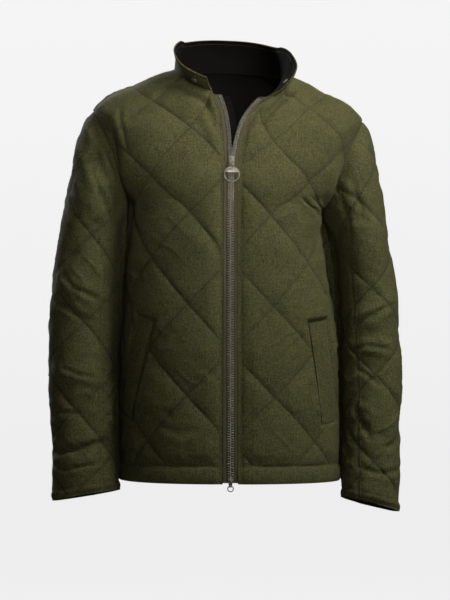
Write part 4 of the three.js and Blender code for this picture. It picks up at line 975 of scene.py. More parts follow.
def collar_grid(spacing):
    """The collar's surface: points from the neck seam up, and their outward normals."""
    right, back, left = (PANELS[name]["base"][-1] for name in ("front_right", "back", "front_left"))
    neck = np.concatenate([right, back[1:-1], left[::-1]])
    length = np.concatenate([[0], np.cumsum(np.linalg.norm(np.diff(neck, axis=0), axis=1))])
    count = int(round(length[-1] / spacing))
    even = np.linspace(0, length[-1], count + 1)
    seam = np.stack([np.interp(even, length, neck[:, k]) for k in range(3)], axis=-1)
    reach = max(1, int(round(9 / spacing)))
    after = seam[np.minimum(np.arange(count + 1) + reach, count)]
    before = seam[np.maximum(np.arange(count + 1) - reach, 0)]
    tangent = after - before
    tangent[:, 2] = 0
    tangent = unit(tangent)
    out = np.stack([tangent[:, 1], -tangent[:, 0], np.zeros(count + 1)], axis=-1)
    middle = np.array([NECK_LEAN, 0, 0])
    out *= np.where(np.einsum("ij,ij->i", out, seam - middle) < 0, -1.0, 1.0)[:, None]
    height, lean, turn = table_at(COLLAR, even / length[-1])
    turn, lean = np.radians(turn), np.radians(lean)
    cos, sin = np.cos(turn), np.sin(turn)
    x, y, z = out.T
    out = np.stack([x * cos - y * sin, x * sin + y * cos, z], axis=-1)
    up = np.array([0, 0, 1.0])
    way = out * np.sin(lean)[:, None] + up * np.cos(lean)[:, None]
    face = out * np.cos(lean)[:, None] - up * np.sin(lean)[:, None]
    rows = int(round(50 / spacing))
    share = np.linspace(0, 1, rows + 1)[:, None, None]
    tall = height[None, :, None] * share
    bow = face[None] * COLLAR_BOW * np.sin(math.pi * share)
    points = seam[None] + way[None] * (COLLAR_LIFT + tall) + bow
    normals = grid_normals(points)
    centre = normals[rows // 2, count // 2]
    if centre[1] < 0:
        normals = -normals
    across = np.broadcast_to(even[None, :], tall.shape[:2])
    return points, normals, across, tall[..., 0], way, share[..., 0]


def build_collar():
    """The collar and its facing, and the grid of each for its stitches and stud."""
    points, normals, across, tall, way, share = collar_grid(SMALL_MESH)
    length = across[0, -1]
    top = tall[-1:] - tall
    ends = np.minimum(across, length - across)
    edge = np.minimum(top, ends)
    at_ends = np.abs(ends - COLLAR_STITCH) + np.where(top < COLLAR_STITCH, 9, 0)
    stitched = np.minimum(np.abs(top - COLLAR_STITCH), at_ends)
    relief = 0.9 * np.sqrt(np.clip(edge / 4, 0, 1)) + 0.5 * noise(across / 26, tall / 19, 81)
    relief -= 0.7 * np.exp(-((stitched / 1.2) ** 2))
    relief += 0.5 * noise(across / 8, tall / 14, 82) * np.exp(-tall / 9)
    relief += 0.45 * noise(across / 9, tall / 30, 83) * np.exp(-np.abs(top - COLLAR_STITCH) / 5)
    outer = points + normals * relief[..., None]
    inner = points - normals * COLLAR_CLOTH
    uv = np.stack([across, tall], axis=-1)
    shell = wall_mesh("collar_cloth", outer, inner, uv, 2)
    grid = {"outer": outer, "normals": normals, "top": top, "ends": ends, "length": length}
    # The facing runs on below the neck seam, inside the body, and folds in at its top.
    lower = points - way[None] * FACING_DROP * (1 - share[..., None]) ** 3
    depth = COLLAR_CLOTH + FACING_GAP
    face_relief = 0.4 * noise(across / 21, tall / 17, 91)
    face_relief = face_relief - 0.5 * np.exp(-(((top - COLLAR_STITCH) / 1.2) ** 2))
    face_relief = np.clip(face_relief, -0.8, 0.8)[..., None]
    face_outer = lower - normals * (depth + FACING_CLOTH + face_relief)
    face_inner = lower - normals * depth
    facing = wall_mesh("collar_lining_cloth", face_outer, face_inner, uv, 2)
    inside = {"outer": face_outer, "normals": -normals, "top": top, "ends": ends, "length": length}
    return shell, facing, grid, inside


def build_welt(side, word):
    """A pocket welt, a little crowned, laid on its front."""
    _, _, length, down, out = welt_place(0.0, 0.0, side)
    rows, columns = int(length / SMALL_MESH), int(WELT_WIDTH / SMALL_MESH)
    t = np.linspace(0, 1, rows + 1)[:, None] * length
    w = np.linspace(0, 1, columns + 1)[None, :] * WELT_WIDTH
    top_across, top_up = WELTS[side][:2]
    across = top_across + down[0] * t + out[0] * w
    up = top_up + down[1] * t + out[1] * w
    base, normals = on_front(up, across, side, WELT_CLEAR + WELT_THICK)
    folds = BODY_FOLDS["front_left" if side > 0 else "front_right"]
    base = base + normals * fold_lift(folds, across, up)[..., None]
    edge = np.minimum(np.minimum(t, length - t), np.minimum(w, WELT_WIDTH - w))
    relief = WELT_BOW * np.sin(math.pi * t / length) * np.sin(math.pi * w / WELT_WIDTH)
    relief = relief + 0.35 * noise(across / 17, up / 21, 101)
    relief -= 1.6 * (1 - np.clip(edge / 3.2, 0, 1)) ** 2
    relief -= 0.6 * np.exp(-(((edge - WELT_STITCH) / 1.1) ** 2))
    outer = base + normals * relief[..., None]
    inner = base - normals * WELT_THICK
    uv = np.stack([w + 0 * t, t + 0 * w], axis=-1)
    piece = wall_mesh("welt_cloth_" + word, outer, inner, uv, 2)
    return piece, {"outer": outer, "normals": normals, "rows": rows, "columns": columns}


def strip(name, side, ups, widths, top, thick, relief):
    """A long closed strip that follows a front's edge between two flat widths."""
    up, across = np.meshgrid(ups, widths, indexing="ij")
    points, normals = on_front(up, across, side, top)
    outer = points + normals * relief(across, up)[..., None]
    inner = points - normals * thick
    uv = np.stack([across, up], axis=-1)
    return wall_mesh(name, outer, inner, uv, 2)


def tape_relief(across, _):
    """A tape's woven ribs and the cord that carries its teeth."""
    cord = 1.1 * np.sqrt(np.clip(1 - ((across - 4.9) / 1.5) ** 2, 0, 1))
    arch = 1.5 * smooth(5.5, 7.5, across) * (1 - smooth(11.5, 13, across))
    return cord + arch + 0.12 * np.sin(across * 2 * math.pi / 1.7)


TOOTH = (
    # along the tooth from its head, half height, half thickness
    (-1.4, 0.5, 0.7),
    (-1.0, 1.1, 1.2),
    (0.3, 1.2, 1.45),
    (1.0, 0.8, 1.2),
    (2.2, 0.85, 1.25),
    (3.2, 1.25, 1.5),
    (4.9, 1.2, 1.35),
    (5.4, 0.7, 0.8),
)
TOOTH_SIDES = 8
TOOTH_FOOT = 5.0  # height of the lowest tooth's middle


def build_teeth(side, word, pitch):
    """One side's row of metal teeth, each tapered to a head that locks past the middle."""
    first = TOOTH_FOOT + (pitch / 2 if side > 0 else 0)
    ups = np.arange(first, ZIP_TOP - 1, pitch)
    head, foot = 0.4, 4.4
    middle = TEETH_TOP - TEETH_THICK / 2
    start, normals = on_front(ups, np.full(ups.shape, head), side, middle)
    end, _ = on_front(ups, np.full(ups.shape, foot), side, middle)
    out = unit(end - start)
    along = unit(np.cross(normals, out))
    angles = [2 * math.pi * (k + 0.5) / TOOTH_SIDES for k in range(TOOTH_SIDES)]
    stations = []
    for reach, tall, thick in TOOTH:
        for angle in angles:
            cos, sin = math.cos(angle), math.sin(angle)
            square = 1 / max(abs(cos), abs(sin)) ** 0.55
            stations.append((reach - head, cos * tall * square, sin * thick * square))
    stations = np.array(stations)
    block = (
        start[:, None]
        + out[:, None] * stations[None, :, :1]
        + along[:, None] * stations[None, :, 1:2]
        + normals[:, None] * stations[None, :, 2:]
    )
    faces = []
    for tooth in range(len(ups)):
        faces += tube_faces(len(TOOTH), TOOTH_SIDES, tooth * len(stations))
    return mesh_object("teeth_" + word, block.reshape(-1, 3), faces)


def frame_at_slider(up):
    """The slider's own frame, as in its solids: x across, y outward, z up."""
    lift = TEETH_TOP + PLATE_ABOVE
    left, left_normal = on_front(np.array([up]), np.array([0.0]), 1, lift)
    right, right_normal = on_front(np.array([up]), np.array([0.0]), -1, lift)
    origin = (left[0] + right[0]) / 2
    out = left_normal[0] + right_normal[0]
    out[0] = 0
    out = unit(out)
    upward = unit(np.array([0, -out[2], out[1]]) * (-1 if out[1] < 0 else 1))
    across = np.cross(out, upward)
    return origin, across, out, upward


def placed(points, place):
    """Points of a slider's own frame, put where the slider is."""
    origin, across, out, upward = place
    points = np.asarray(points, float)
    return origin + points[:, :1] * across + points[:, 1:2] * out + points[:, 2:] * upward


def rounded_outline(width, tall, corner, waist=0.8, steps=6):
    """An outline in x and z with round corners, narrower at its foot."""
    w, h = width / 2, tall / 2
    places = [(w - corner, h - corner, 0), (-w + corner, h - corner, 1)]
    places += [(-w * waist + corner, -h + corner, 2), (w * waist - corner, -h + corner, 3)]
    outline = []
    for x, z, quarter_turn in places:
        for k in range(steps + 1):
            angle = (quarter_turn + k / steps) * math.pi / 2
            outline.append((x + corner * math.cos(angle), z + corner * math.sin(angle)))
    return np.array(outline)


def bevelled_plate(outline, low, high, bevel):
    """A plate between two depths, its outline drawn in at both edges."""
    centre = outline.mean(axis=0)
    size = np.abs(outline - centre).max()
    profile = (
        (low, bevel),
        (low + bevel, 0),
        (high - bevel, 0),
        (high - bevel * 0.3, bevel * 0.6),
        (high, bevel * 1.6),
    )
    layers = []
    for depth, inset in profile:
        shrunk = centre + (outline - centre) * (1 - inset / size)
        depths = np.full(len(shrunk), depth)
        layers.append(np.stack([shrunk[:, 0], depths, shrunk[:, 1]], axis=-1))
    return np.concatenate(layers), tube_faces(len(layers), len(outline))


def swept(path, across_half, thick_half, closed_path=False, sides=10, side_way=(1, 0, 0)):
    """A rounded bar along a path, wide along one fixed direction."""
    path = np.asarray(path, float)
    if closed_path:
        way = np.roll(path, -1, axis=0) - np.roll(path, 1, axis=0)
    else:
        way = np.gradient(path, axis=0)
    way = unit(way)
    wide = np.broadcast_to(np.asarray(side_way, float), way.shape)
    thin = unit(np.cross(way, wide))
    angles = np.linspace(0, 2 * math.pi, sides, endpoint=False) + math.pi / sides
    ring = []
    for angle in angles:
        c, q = math.cos(angle), math.sin(angle)
        c, q = math.copysign(abs(c) ** 0.6, c), math.copysign(abs(q) ** 0.6, q)
        ring.append(path + wide * c * across_half + thin * q * thick_half)
    points = np.stack(ring, axis=1).reshape(-1, 3)
    return points, tube_faces(len(path), sides, closed_path=closed_path)


def joined(name, parts, place):
    """One object from several closed parts in a slider's frame."""
    points, faces, base = [], [], 0
    for part_points, part_faces in parts:
        part_faces = outward_faces(part_points, part_faces)
        points.append(placed(part_points, place))
        faces += [tuple(base + k for k in face) for face in part_faces]
        base += len(part_points)
    return mesh_object(name, np.concatenate(points), faces)


def outward_faces(points, faces):
    """Turns a part's faces over if they point in."""
    total = 0.0
    for face in faces:
        a = points[face[0]]
        for k in range(1, len(face) - 1):
            total += float(np.dot(a, np.cross(points[face[k]], points[face[k + 1]])))
    return faces if total > 0 else [face[::-1] for face in faces]


PLATE_WIDTH, PLATE_TALL, PLATE_THICK, PLATE_ABOVE, PLATE_CORNER = 11.0, 16.0, 2.2, 0.6, 2.4
BAIL_HALF_WIDTH, BAIL_HALF_HEIGHT, BAIL_REACH = 1.2, 5.0, 4.6
SLIDERS = {"top": (589.0, 1.0), "bottom": (4.0, 0.72)}  # height on the zip, scale
HINGE_OUT = 1.8  # the ring's axis above the slider's plate
PULLS = {
    # ring radius, rim's half width, chord above the centre, drop, half thickness, lug half width
    "top": (12.3, 1.2, 3.6, 24.0, 1.0, 2.9),
    "bottom": (4.7, 0.85, 2.4, 11.0, 0.6, 2.3),
}


def arc(centre_x, centre_z, radius, start, end, steps):
    angles = np.linspace(math.radians(start), math.radians(end), steps)
    return [(centre_x + radius * math.cos(a), 0.0, centre_z + radius * math.sin(a)) for a in angles]


def build_slider(name):
    """A slider: a bevelled plate, a ridge on it and the bail that its ring hangs from."""
    up, scale = SLIDERS[name]
    place = frame_at_slider(up)
    outline = rounded_outline(PLATE_WIDTH, PLATE_TALL, PLATE_CORNER)
    plate = bevelled_plate(outline, 0.0, PLATE_THICK, 0.5)
    ridge_outline = rounded_outline(PLATE_WIDTH * 0.62, PLATE_TALL * 0.8, 1.8)
    ridge = bevelled_plate(ridge_outline, PLATE_THICK - 0.2, PLATE_THICK + 0.55, 0.3)
    arch = [(0, PLATE_THICK - 0.3, BAIL_HALF_HEIGHT)]
    for k in range(13):
        cos, sin = math.cos(math.pi * k / 12), math.sin(math.pi * k / 12)
        reach = PLATE_THICK + BAIL_REACH - 2.4 + 1.8 * sin**0.7
        arch.append((0, reach, BAIL_HALF_HEIGHT * math.copysign(abs(cos) ** 0.6, cos)))
    arch.append((0, PLATE_THICK - 0.3, -BAIL_HALF_HEIGHT))
    bail = swept(arch, BAIL_HALF_WIDTH, 0.75)
    parts = [(points * scale, faces) for points, faces in (plate, ridge, bail)]
    return joined("zip_slider_" + name, parts, place)


def build_pull(name):
    """A ring with a solid upper segment, hung by a slotted lug from the slider's bail."""
    radius, rim, chord, drop, half_thick, lug = PULLS[name]
    up, scale = SLIDERS[name]
    place = frame_at_slider(up)
    hinge = np.array([0, (PLATE_THICK + HINGE_OUT) * scale, 0])
    ring = swept(arc(0, -drop, radius, 0, 352.5, 48), half_thick, rim, True, 10, (0, 1, 0))
    top = math.degrees(math.asin(chord / radius))
    segment_outline = np.array([(x, z) for x, _, z in arc(0, -drop, radius, top, 180 - top, 24)])
    segment = bevelled_plate(segment_outline, -half_thick * 0.6, half_thick * 0.6, 0.25)
    inner = chord + 0.3
    half_bar = math.sqrt(radius**2 - inner**2)
    left, right = np.array((-half_bar, 0, -drop + inner)), np.array((half_bar, 0, -drop + inner))
    bar = [tuple(left * (1 - s) + right * s) for s in np.linspace(0, 1, 8)]
    chord_bar = swept(bar, half_thick * 0.95, rim * 0.55, False, 10, (0, 1, 0))
    # The lug is a flat loop with round corners, from just above the hinge to the ring.
    corner, head, foot = 0.8, -0.6, -drop + radius - 0.3
    loop = arc(lug - corner, head, corner, 0, 90, 4)
    loop += arc(-lug + corner, head, corner, 90, 180, 4)
    loop += arc(-lug + corner, foot + corner, corner, 180, 270, 4)
    loop += arc(lug - corner, foot + corner, corner, 270, 360, 4)
    link = swept(loop, half_thick * 0.9, 0.8 if name == "top" else 0.6, True, 8, (0, 1, 0))
    parts = [(points + hinge, faces) for points, faces in (ring, segment, chord_bar, link)]
    return joined("zip_ring_" + name, parts, place)


def lathe(name, profile, centre, axis, steps=32):
    """A turned piece from (radius, height) pairs, closed on its axis at both ends."""
    axis = unit(np.asarray(axis, float))
    side = unit(np.cross(axis, [0.3, 0.2, 0.9]))
    other = np.cross(axis, side)
    points = []
    for radius, height in profile:
        for k in range(steps):
            angle = 2 * math.pi * k / steps
            way = side * math.cos(angle) + other * math.sin(angle)
            points.append(centre + axis * height + way * radius)
    return mesh_object(name, points, tube_faces(len(profile), steps))


# Turned profiles of the press stud, from the rim to the middle: radius, height
CAP_RADII = (4.6, 5, 5, 4.6, 4.0, 3.7, 3.2, 2.2, 0.6, 0.05)
CAP_HEIGHTS = (0, 0.5, 1.3, 1.9, 2.0, 1.6, 1.55, 1.8, 1.95, 2.0)
SOCKET_RADII = (4.6, 5, 4.9, 4.3, 3.4, 3.0, 2.2, 2.0, 1.3, 0.05)
SOCKET_HEIGHTS = (0, 0.4, 1.2, 1.7, 1.7, 1.1, 0.9, 1.7, 2.1, 2.1)
SNAP_SHARE, SNAP_FROM_END, SNAP_LIFT = 0.55, 21.0, 0.1


def build_snap(name, grid, profile):
    """A half of the press stud, near one end of a collar's grid."""
    rows, columns = grid["outer"].shape[0] - 1, grid["outer"].shape[1] - 1
    step = SNAP_FROM_END / (grid["length"] / columns)
    column = step if name == "snap_cap" else columns - step
    point, normal = grid_run(grid, np.array([SNAP_SHARE * rows]), np.array([column]))
    return lathe("metal_" + name, profile, point[0] + unit(normal[0]) * SNAP_LIFT, normal[0])


# Materials
def new_material(name):
    material = bpy.data.materials.new(name)
    material.use_nodes = True
    tree = material.node_tree
    return material, tree, tree.nodes["Principled BSDF"]


def shared_group(name, inputs, outputs):
    """An empty shader group with named float or colour sockets."""
    group = bpy.data.node_groups.new(name, "ShaderNodeTree")
    for label, kind, default in inputs:
        socket = group.interface.new_socket(label, in_out="INPUT", socket_type=kind)
        socket.default_value = default
    for label, kind in outputs:
        group.interface.new_socket(label, in_out="OUTPUT", socket_type=kind)
    start = group.nodes.new("NodeGroupInput")
    end = group.nodes.new("NodeGroupOutput")
    return group, start, end


def node(tree, kind, **values):
    made = tree.nodes.new(kind)
    for key, value in values.items():
        if hasattr(made, key):
            setattr(made, key, value)
        else:
            made.inputs[key.replace("_", " ")].default_value = value
    return made


def math_node(tree, operation, first, second=None, third=None, clamp=False):
    made = tree.nodes.new("ShaderNodeMath")
    made.operation = operation
    made.use_clamp = clamp
    for slot, value in enumerate((first, second, third)):
        if value is None:
            continue
        if isinstance(value, (int, float)):
            made.inputs[slot].default_value = value
        else:
            tree.links.new(value, made.inputs[slot])
    return made.outputs[0]


def mix_colour(tree, factor, low, high, blend="MIX"):
    made = tree.nodes.new("ShaderNodeMix")
    made.data_type = "RGBA"
    made.blend_type = blend
    for socket, value in ((made.inputs[0], factor), (made.inputs[6], low), (made.inputs[7], high)):
        if isinstance(value, (int, float)):
            socket.default_value = value
        elif isinstance(value, (tuple, list)):
            socket.default_value = (*value[:3], 1)
        else:
            tree.links.new(value, socket)
    return made.outputs[2]


def cloth_place(tree, scale_u, scale_v):
    """Coordinates on the flat cloth, scaled each way; the UV map is in metres of cloth."""
    uv = tree.nodes.new("ShaderNodeUVMap")
    uv.uv_map = "Cloth"
    mapping = tree.nodes.new("ShaderNodeMapping")
    mapping.inputs["Scale"].default_value = (scale_u, scale_v, 1)
    tree.links.new(uv.outputs[0], mapping.inputs[0])
    return mapping.outputs[0]


def noise_node(tree, vector, scale, detail=2.0, roughness=0.5):
    made = node(tree, "ShaderNodeTexNoise", Scale=scale, Detail=detail, Roughness=roughness)
    made.noise_dimensions = "2D"
    tree.links.new(vector, made.inputs["Vector"])
    return made.outputs["Fac"]


# Layers of uneven yarn: scale across and up the cloth, strength
YARN_STREAKS = (
    (22, 22, 0.6),
    (330, 60, 1.1),
    (560, 200, 1.9),
    (420, 420, 1.8),
    (60, 420, 0.8),
)


def weave_group():
    """Plain weave with slubs and uneven yarn: puts out a colour, a height and a roughness."""
    if "Woven cloth" in bpy.data.node_groups:
        return bpy.data.node_groups["Woven cloth"]
    group, start, end = shared_group(
        "Woven cloth",
        [
            ("Colour", "NodeSocketColor", (0.07, 0.07, 0.035, 1)),
            ("Thread colour", "NodeSocketColor", (0.1, 0.1, 0.06, 1)),
            ("Threads per metre", "NodeSocketFloat", 1400.0),
            ("Slub", "NodeSocketFloat", 0.5),
            ("Mottle", "NodeSocketFloat", 0.3),
            ("Roughness", "NodeSocketFloat", 0.8),
        ],
        [
            ("Colour", "NodeSocketColor"),
            ("Height", "NodeSocketFloat"),
            ("Roughness", "NodeSocketFloat"),
        ],
    )
    uv = cloth_place(group, 1, 1)
    split = group.nodes.new("ShaderNodeSeparateXYZ")
    group.links.new(uv, split.inputs[0])
    waves = []
    for axis in (0, 1):
        threads = start.outputs["Threads per metre"]
        turned = math_node(group, "MULTIPLY", split.outputs[axis], threads)
        angle = math_node(group, "MULTIPLY", turned, 2 * math.pi)
        waves.append(math_node(group, "SINE", angle))
    over = math_node(group, "MULTIPLY", waves[0], waves[1])
    height = math_node(group, "MULTIPLY_ADD", over, 0.5, 0.5)
    warp = noise_node(group, cloth_place(group, 900, 60), 1.0, 3.0, 0.6)
    weft = noise_node(group, cloth_place(group, 60, 900), 1.0, 3.0, 0.6)
    fleck = noise_node(group, cloth_place(group, 420, 420), 1.0, 3.0, 0.7)
    slub = math_node(group, "ADD", warp, weft)
    slub = math_node(group, "ADD", slub, fleck)
    slub = math_node(group, "SUBTRACT", slub, 1.5)
    slub = math_node(group, "MULTIPLY_ADD", slub, start.outputs["Slub"], 0.5, clamp=True)
    # Uneven yarns leave long faint streaks, mostly down the cloth, that are seen from afar.
    tone = 1.0
    for scale_u, scale_v, share in YARN_STREAKS:
        patch = noise_node(group, cloth_place(group, scale_u, scale_v), 1.0, 2.0, 0.55)
        patch = math_node(group, "SUBTRACT", patch, 0.5)
        patch = math_node(group, "MULTIPLY", patch, share)
        patch = math_node(group, "MULTIPLY", patch, start.outputs["Mottle"])
        tone = math_node(group, "ADD", patch, tone)
    colour = mix_colour(group, slub, start.outputs["Colour"], start.outputs["Thread colour"])
    grey = group.nodes.new("ShaderNodeCombineColor")
    for socket in grey.inputs[:3]:
        group.links.new(tone, socket)
    colour = mix_colour(group, 1.0, colour, grey.outputs[0], "MULTIPLY")
    group.links.new(colour, end.inputs["Colour"])
    mixed = math_node(group, "MULTIPLY_ADD", slub, 0.6, height)
    group.links.new(mixed, end.inputs["Height"])
    rough = math_node(group, "MULTIPLY_ADD", slub, 0.08, start.outputs["Roughness"])
    group.links.new(rough, end.inputs["Roughness"])
    return group


# Painted shade in the stitched valleys: each family of lines and the strength of its painted shade,
# stronger on the lines that fall to the viewer's right, across the light from the upper right;
# then how sharply the narrow and the wide part of a valley open, and how much painted shade each
# puts on the cloth
VALLEY_SHADE_FAMILIES = (("ADD", 1.0), ("SUBTRACT", 0.75))
NARROW_SHARPNESS, WIDE_SHARPNESS = 34.0, 9.0
NARROW_PAINTED_SHADE, WIDE_PAINTED_SHADE = 0.7, 0.25


def painted_valley_shade_group():
    """Paints shade into the cloth's colour in the stitched valleys; its place on the diamonds comes
    from a UV map.
    """
    if "Stitched valley" in bpy.data.node_groups:
        return bpy.data.node_groups["Stitched valley"]
    group, start, end = shared_group(
        "Stitched valley",
        [("Colour", "NodeSocketColor", (0.1, 0.1, 0.05, 1)), ("Depth", "NodeSocketFloat", 0.9)],
        [("Colour", "NodeSocketColor")],
    )
    uv = group.nodes.new("ShaderNodeUVMap")
    uv.uv_map = "Quilt"
    split = group.nodes.new("ShaderNodeSeparateXYZ")
    group.links.new(uv.outputs[0], split.inputs[0])
    masks = []
    for operation, share in VALLEY_SHADE_FAMILIES:
        # Painted shade: how far each part of the valley darkens the cloth's colour
        narrow_shade, wide_shade = NARROW_PAINTED_SHADE * share, WIDE_PAINTED_SHADE * share
        value = math_node(group, operation, split.outputs[0], split.outputs[1])
        value = math_node(group, "FLOORED_MODULO", value, 2.0)
        value = math_node(group, "SUBTRACT", value, 1.0)
        value = math_node(group, "ABSOLUTE", value)
        narrow = math_node(group, "MULTIPLY", value, NARROW_SHARPNESS, clamp=True)
        narrow = math_node(group, "MULTIPLY_ADD", narrow, narrow_shade, 1 - narrow_shade)
        wide = math_node(group, "MULTIPLY", value, WIDE_SHARPNESS, clamp=True)
        wide = math_node(group, "POWER", wide, 0.5)
        wide = math_node(group, "MULTIPLY_ADD", wide, wide_shade, 1 - wide_shade)
        masks.append(math_node(group, "MULTIPLY", narrow, wide))
    both = math_node(group, "MULTIPLY", masks[0], masks[1])
    share = group.nodes.new("ShaderNodeAttribute")
    share.attribute_name = "Quilted"
    depth = math_node(group, "MULTIPLY", share.outputs["Fac"], start.outputs["Depth"])
    shade_share = math_node(group, "SUBTRACT", 1.0, both)
    dark = math_node(group, "MULTIPLY", shade_share, depth)
    # Painted shade: the cloth's colour is drawn towards near black along the valleys
    colour = mix_colour(group, dark, start.outputs["Colour"], (0.004, 0.004, 0.002))
    group.links.new(colour, end.inputs["Colour"])
    return group


def cloth_material(
    name,
    colour,
    thread,
    threads=1400.0,
    slub=0.9,
    mottle=0.6,
    rough=0.8,
    gloss=0.25,
    bump=0.12,
    quilted=False,
):
    """A woven cloth with its own colours, weave size and sheen; quilted cloth gets painted shade in
    its stitched valleys.
    """
    material, tree, shader = new_material(name)
    weave = tree.nodes.new("ShaderNodeGroup")
    weave.node_tree = weave_group()
    weave.inputs["Colour"].default_value = (*colour, 1)
    weave.inputs["Thread colour"].default_value = (*thread, 1)
    weave.inputs["Threads per metre"].default_value = threads
    weave.inputs["Slub"].default_value = slub
    weave.inputs["Mottle"].default_value = mottle
    weave.inputs["Roughness"].default_value = rough
    tint = weave.outputs["Colour"]
    # Quilted cloth gets painted shade in its stitched valleys.
    if quilted:
        valley = tree.nodes.new("ShaderNodeGroup")
        valley.node_tree = painted_valley_shade_group()
        tree.links.new(tint, valley.inputs["Colour"])
        tint = valley.outputs["Colour"]
    tree.links.new(tint, shader.inputs["Base Color"])
    tree.links.new(weave.outputs["Roughness"], shader.inputs["Roughness"])
    bumped = node(tree, "ShaderNodeBump", Strength=bump, Distance=0.0005)
    tree.links.new(weave.outputs["Height"], bumped.inputs["Height"])
    tree.links.new(bumped.outputs[0], shader.inputs["Normal"])
    shader.inputs["Sheen Weight"].default_value = gloss * 0.1
    shader.inputs["Sheen Roughness"].default_value = 0.5
    shader.inputs["Specular IOR Level"].default_value = gloss
    return material


def metal_material(name, bright, dark, rough=0.38):
    """Antique plated metal: bright in some patches, dark and dull in others, at random."""
    material, tree, shader = new_material(name)
    place = tree.nodes.new("ShaderNodeTexCoord")
    tarnish = node(tree, "ShaderNodeTexNoise", Scale=260.0, Detail=4.0, Roughness=0.6)
    tree.links.new(place.outputs["Object"], tarnish.inputs["Vector"])
    share = math_node(tree, "MULTIPLY_ADD", tarnish.outputs["Fac"], 1.8, -0.4, clamp=True)
    colour = mix_colour(tree, share, dark, bright)
    tree.links.new(colour, shader.inputs["Base Color"])
    roughness = math_node(tree, "MULTIPLY_ADD", share, -0.16, rough + 0.1)
    tree.links.new(roughness, shader.inputs["Roughness"])
    shader.inputs["Metallic"].default_value = 0.6
    bumped = node(tree, "ShaderNodeBump", Strength=0.15, Distance=0.0002)
    tree.links.new(tarnish.outputs["Fac"], bumped.inputs["Height"])
    tree.links.new(bumped.outputs[0], shader.inputs["Normal"])
    return material


def thread_material(name, colour):
    """Twisted thread, lighter and darker along its length."""
    material, tree, shader = new_material(name)
    place = tree.nodes.new("ShaderNodeTexCoord")
    twist = node(tree, "ShaderNodeTexNoise", Scale=1800.0, Detail=1.0)
    tree.links.new(place.outputs["Object"], twist.inputs["Vector"])
    dark = tuple(c * 0.6 for c in colour)
    tone = mix_colour(tree, twist.outputs["Fac"], dark, colour)
    tree.links.new(tone, shader.inputs["Base Color"])
    shader.inputs["Roughness"].default_value = 0.7
    shader.inputs["Sheen Weight"].default_value = 0.2
    return material


CLOTHS = {
    # colour, lighter yarn, how many times brighter that yarn is, settings of the cloth
    # The quilted shell cloth has painted shade in its stitched valleys.
    "quilted shell cloth": ("shell", "shell_thread", 1.0, {"quilted": True}),
    "plain shell cloth": ("shell", "shell_thread", 1.0, {}),
    "dark facing cloth": (
        "facing",
        "facing",
        1.8,
        {"threads": 700.0, "slub": 0.5, "mottle": 0.2, "rough": 0.9, "gloss": 0.06, "bump": 0.3},
    ),
    "lining cloth": (
        "lining",
        "lining",
        1.3,
        {"threads": 2200.0, "slub": 0.4, "mottle": 0.2, "rough": 0.75, "gloss": 0.12, "bump": 0.05},
    ),
    "zip tape": ("tape", "tape", 1.35, {"threads": 1100.0, "slub": 0.7, "mottle": 0.1}),
}


def times(colour, share=1.0):
    return tuple(c * share for c in colour)


def material_of(key, colours):
    """The jacket's materials, each made once."""
    if key in bpy.data.materials:
        return bpy.data.materials[key]
    if key == "antique metal":
        return metal_material(key, times(colours.metal), times(colours.metal, 0.35))
    if key == "stitching thread":
        return thread_material(key, times(colours.thread))
    colour, thread, brighter, settings = CLOTHS[key]
    yarn = times(getattr(colours, thread), brighter)
    return cloth_material(key, times(getattr(colours, colour)), yarn, **settings)


def dress(piece, key, body="jacket", inside=None):
    """Gives a piece its material, its lining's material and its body."""
    colours = bpy.context.scene.jacket_colours
    piece.data.materials.append(material_of(key, colours))
    if inside:
        piece.data.materials.append(material_of(inside, colours))
    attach(piece, body)
    return piece


# Lines of stitching on what has been made
LINES = {}  # grids of the collar, its facing and the welts


def edge_runs(name, grid):
    """Topstitching at a body panel's edges: along the hem, and down the front edge."""
    rows, columns = grid["outer"].shape[0] - 1, grid["outer"].shape[1] - 1
    along = np.arange(0, columns + 0.01, 1.0)
    row = float(np.interp(HEM_TURN, grid["up"][:, columns // 2], np.arange(rows + 1)))
    runs = [grid_run(grid, np.full(along.shape, row), along)]
    if name != "back":
        up_rows = np.arange(0, rows + 0.01, 1.0)
        offset = ZIP_EDGE + FRONT_STITCH
        lines = grid["across"]
        places = [float(np.interp(offset, line, np.arange(columns + 1))) for line in lines]
        runs.append(grid_run(grid, up_rows, np.array(places)))
    return runs


def collar_runs(grid):
    """One row round the collar, below its top edge and down its two ends."""
    rows, columns = grid["outer"].shape[0] - 1, grid["outer"].shape[1] - 1
    every = np.arange(0, columns + 0.01, 1.0)
    tops = -grid["top"].T
    down = np.array([float(np.interp(-COLLAR_STITCH, line, np.arange(rows + 1))) for line in tops])
    step = COLLAR_STITCH / (grid["length"] / columns)
    inside = (every >= step) & (every <= columns - step)
    runs = [grid_run(grid, down[inside], every[inside])]
    for column in (step, columns - step):
        level = float(np.interp(column, every, down))
        up_rows = np.arange(1, level, 1.0)
        runs.append(grid_run(grid, up_rows, np.full(up_rows.shape, column)))
    return runs


def welt_runs(grid):
    """One row of stitches round a welt, just inside its edge."""
    rows, columns = grid["rows"], grid["columns"]
    inset = WELT_STITCH / SMALL_MESH
    long_rows = np.arange(inset, rows - inset, 1.0)
    wide_columns = np.arange(inset, columns - inset, 1.0)
    return [
        grid_run(grid, long_rows, np.full(long_rows.shape, inset)),
        grid_run(grid, long_rows, np.full(long_rows.shape, columns - inset)),
        grid_run(grid, np.full(wide_columns.shape, inset), wide_columns),
        grid_run(grid, np.full(wide_columns.shape, rows - inset), wide_columns),
    ]


def flap_relief(across, up):
    return 0.3 * noise(across / 9, up / 23, 111)


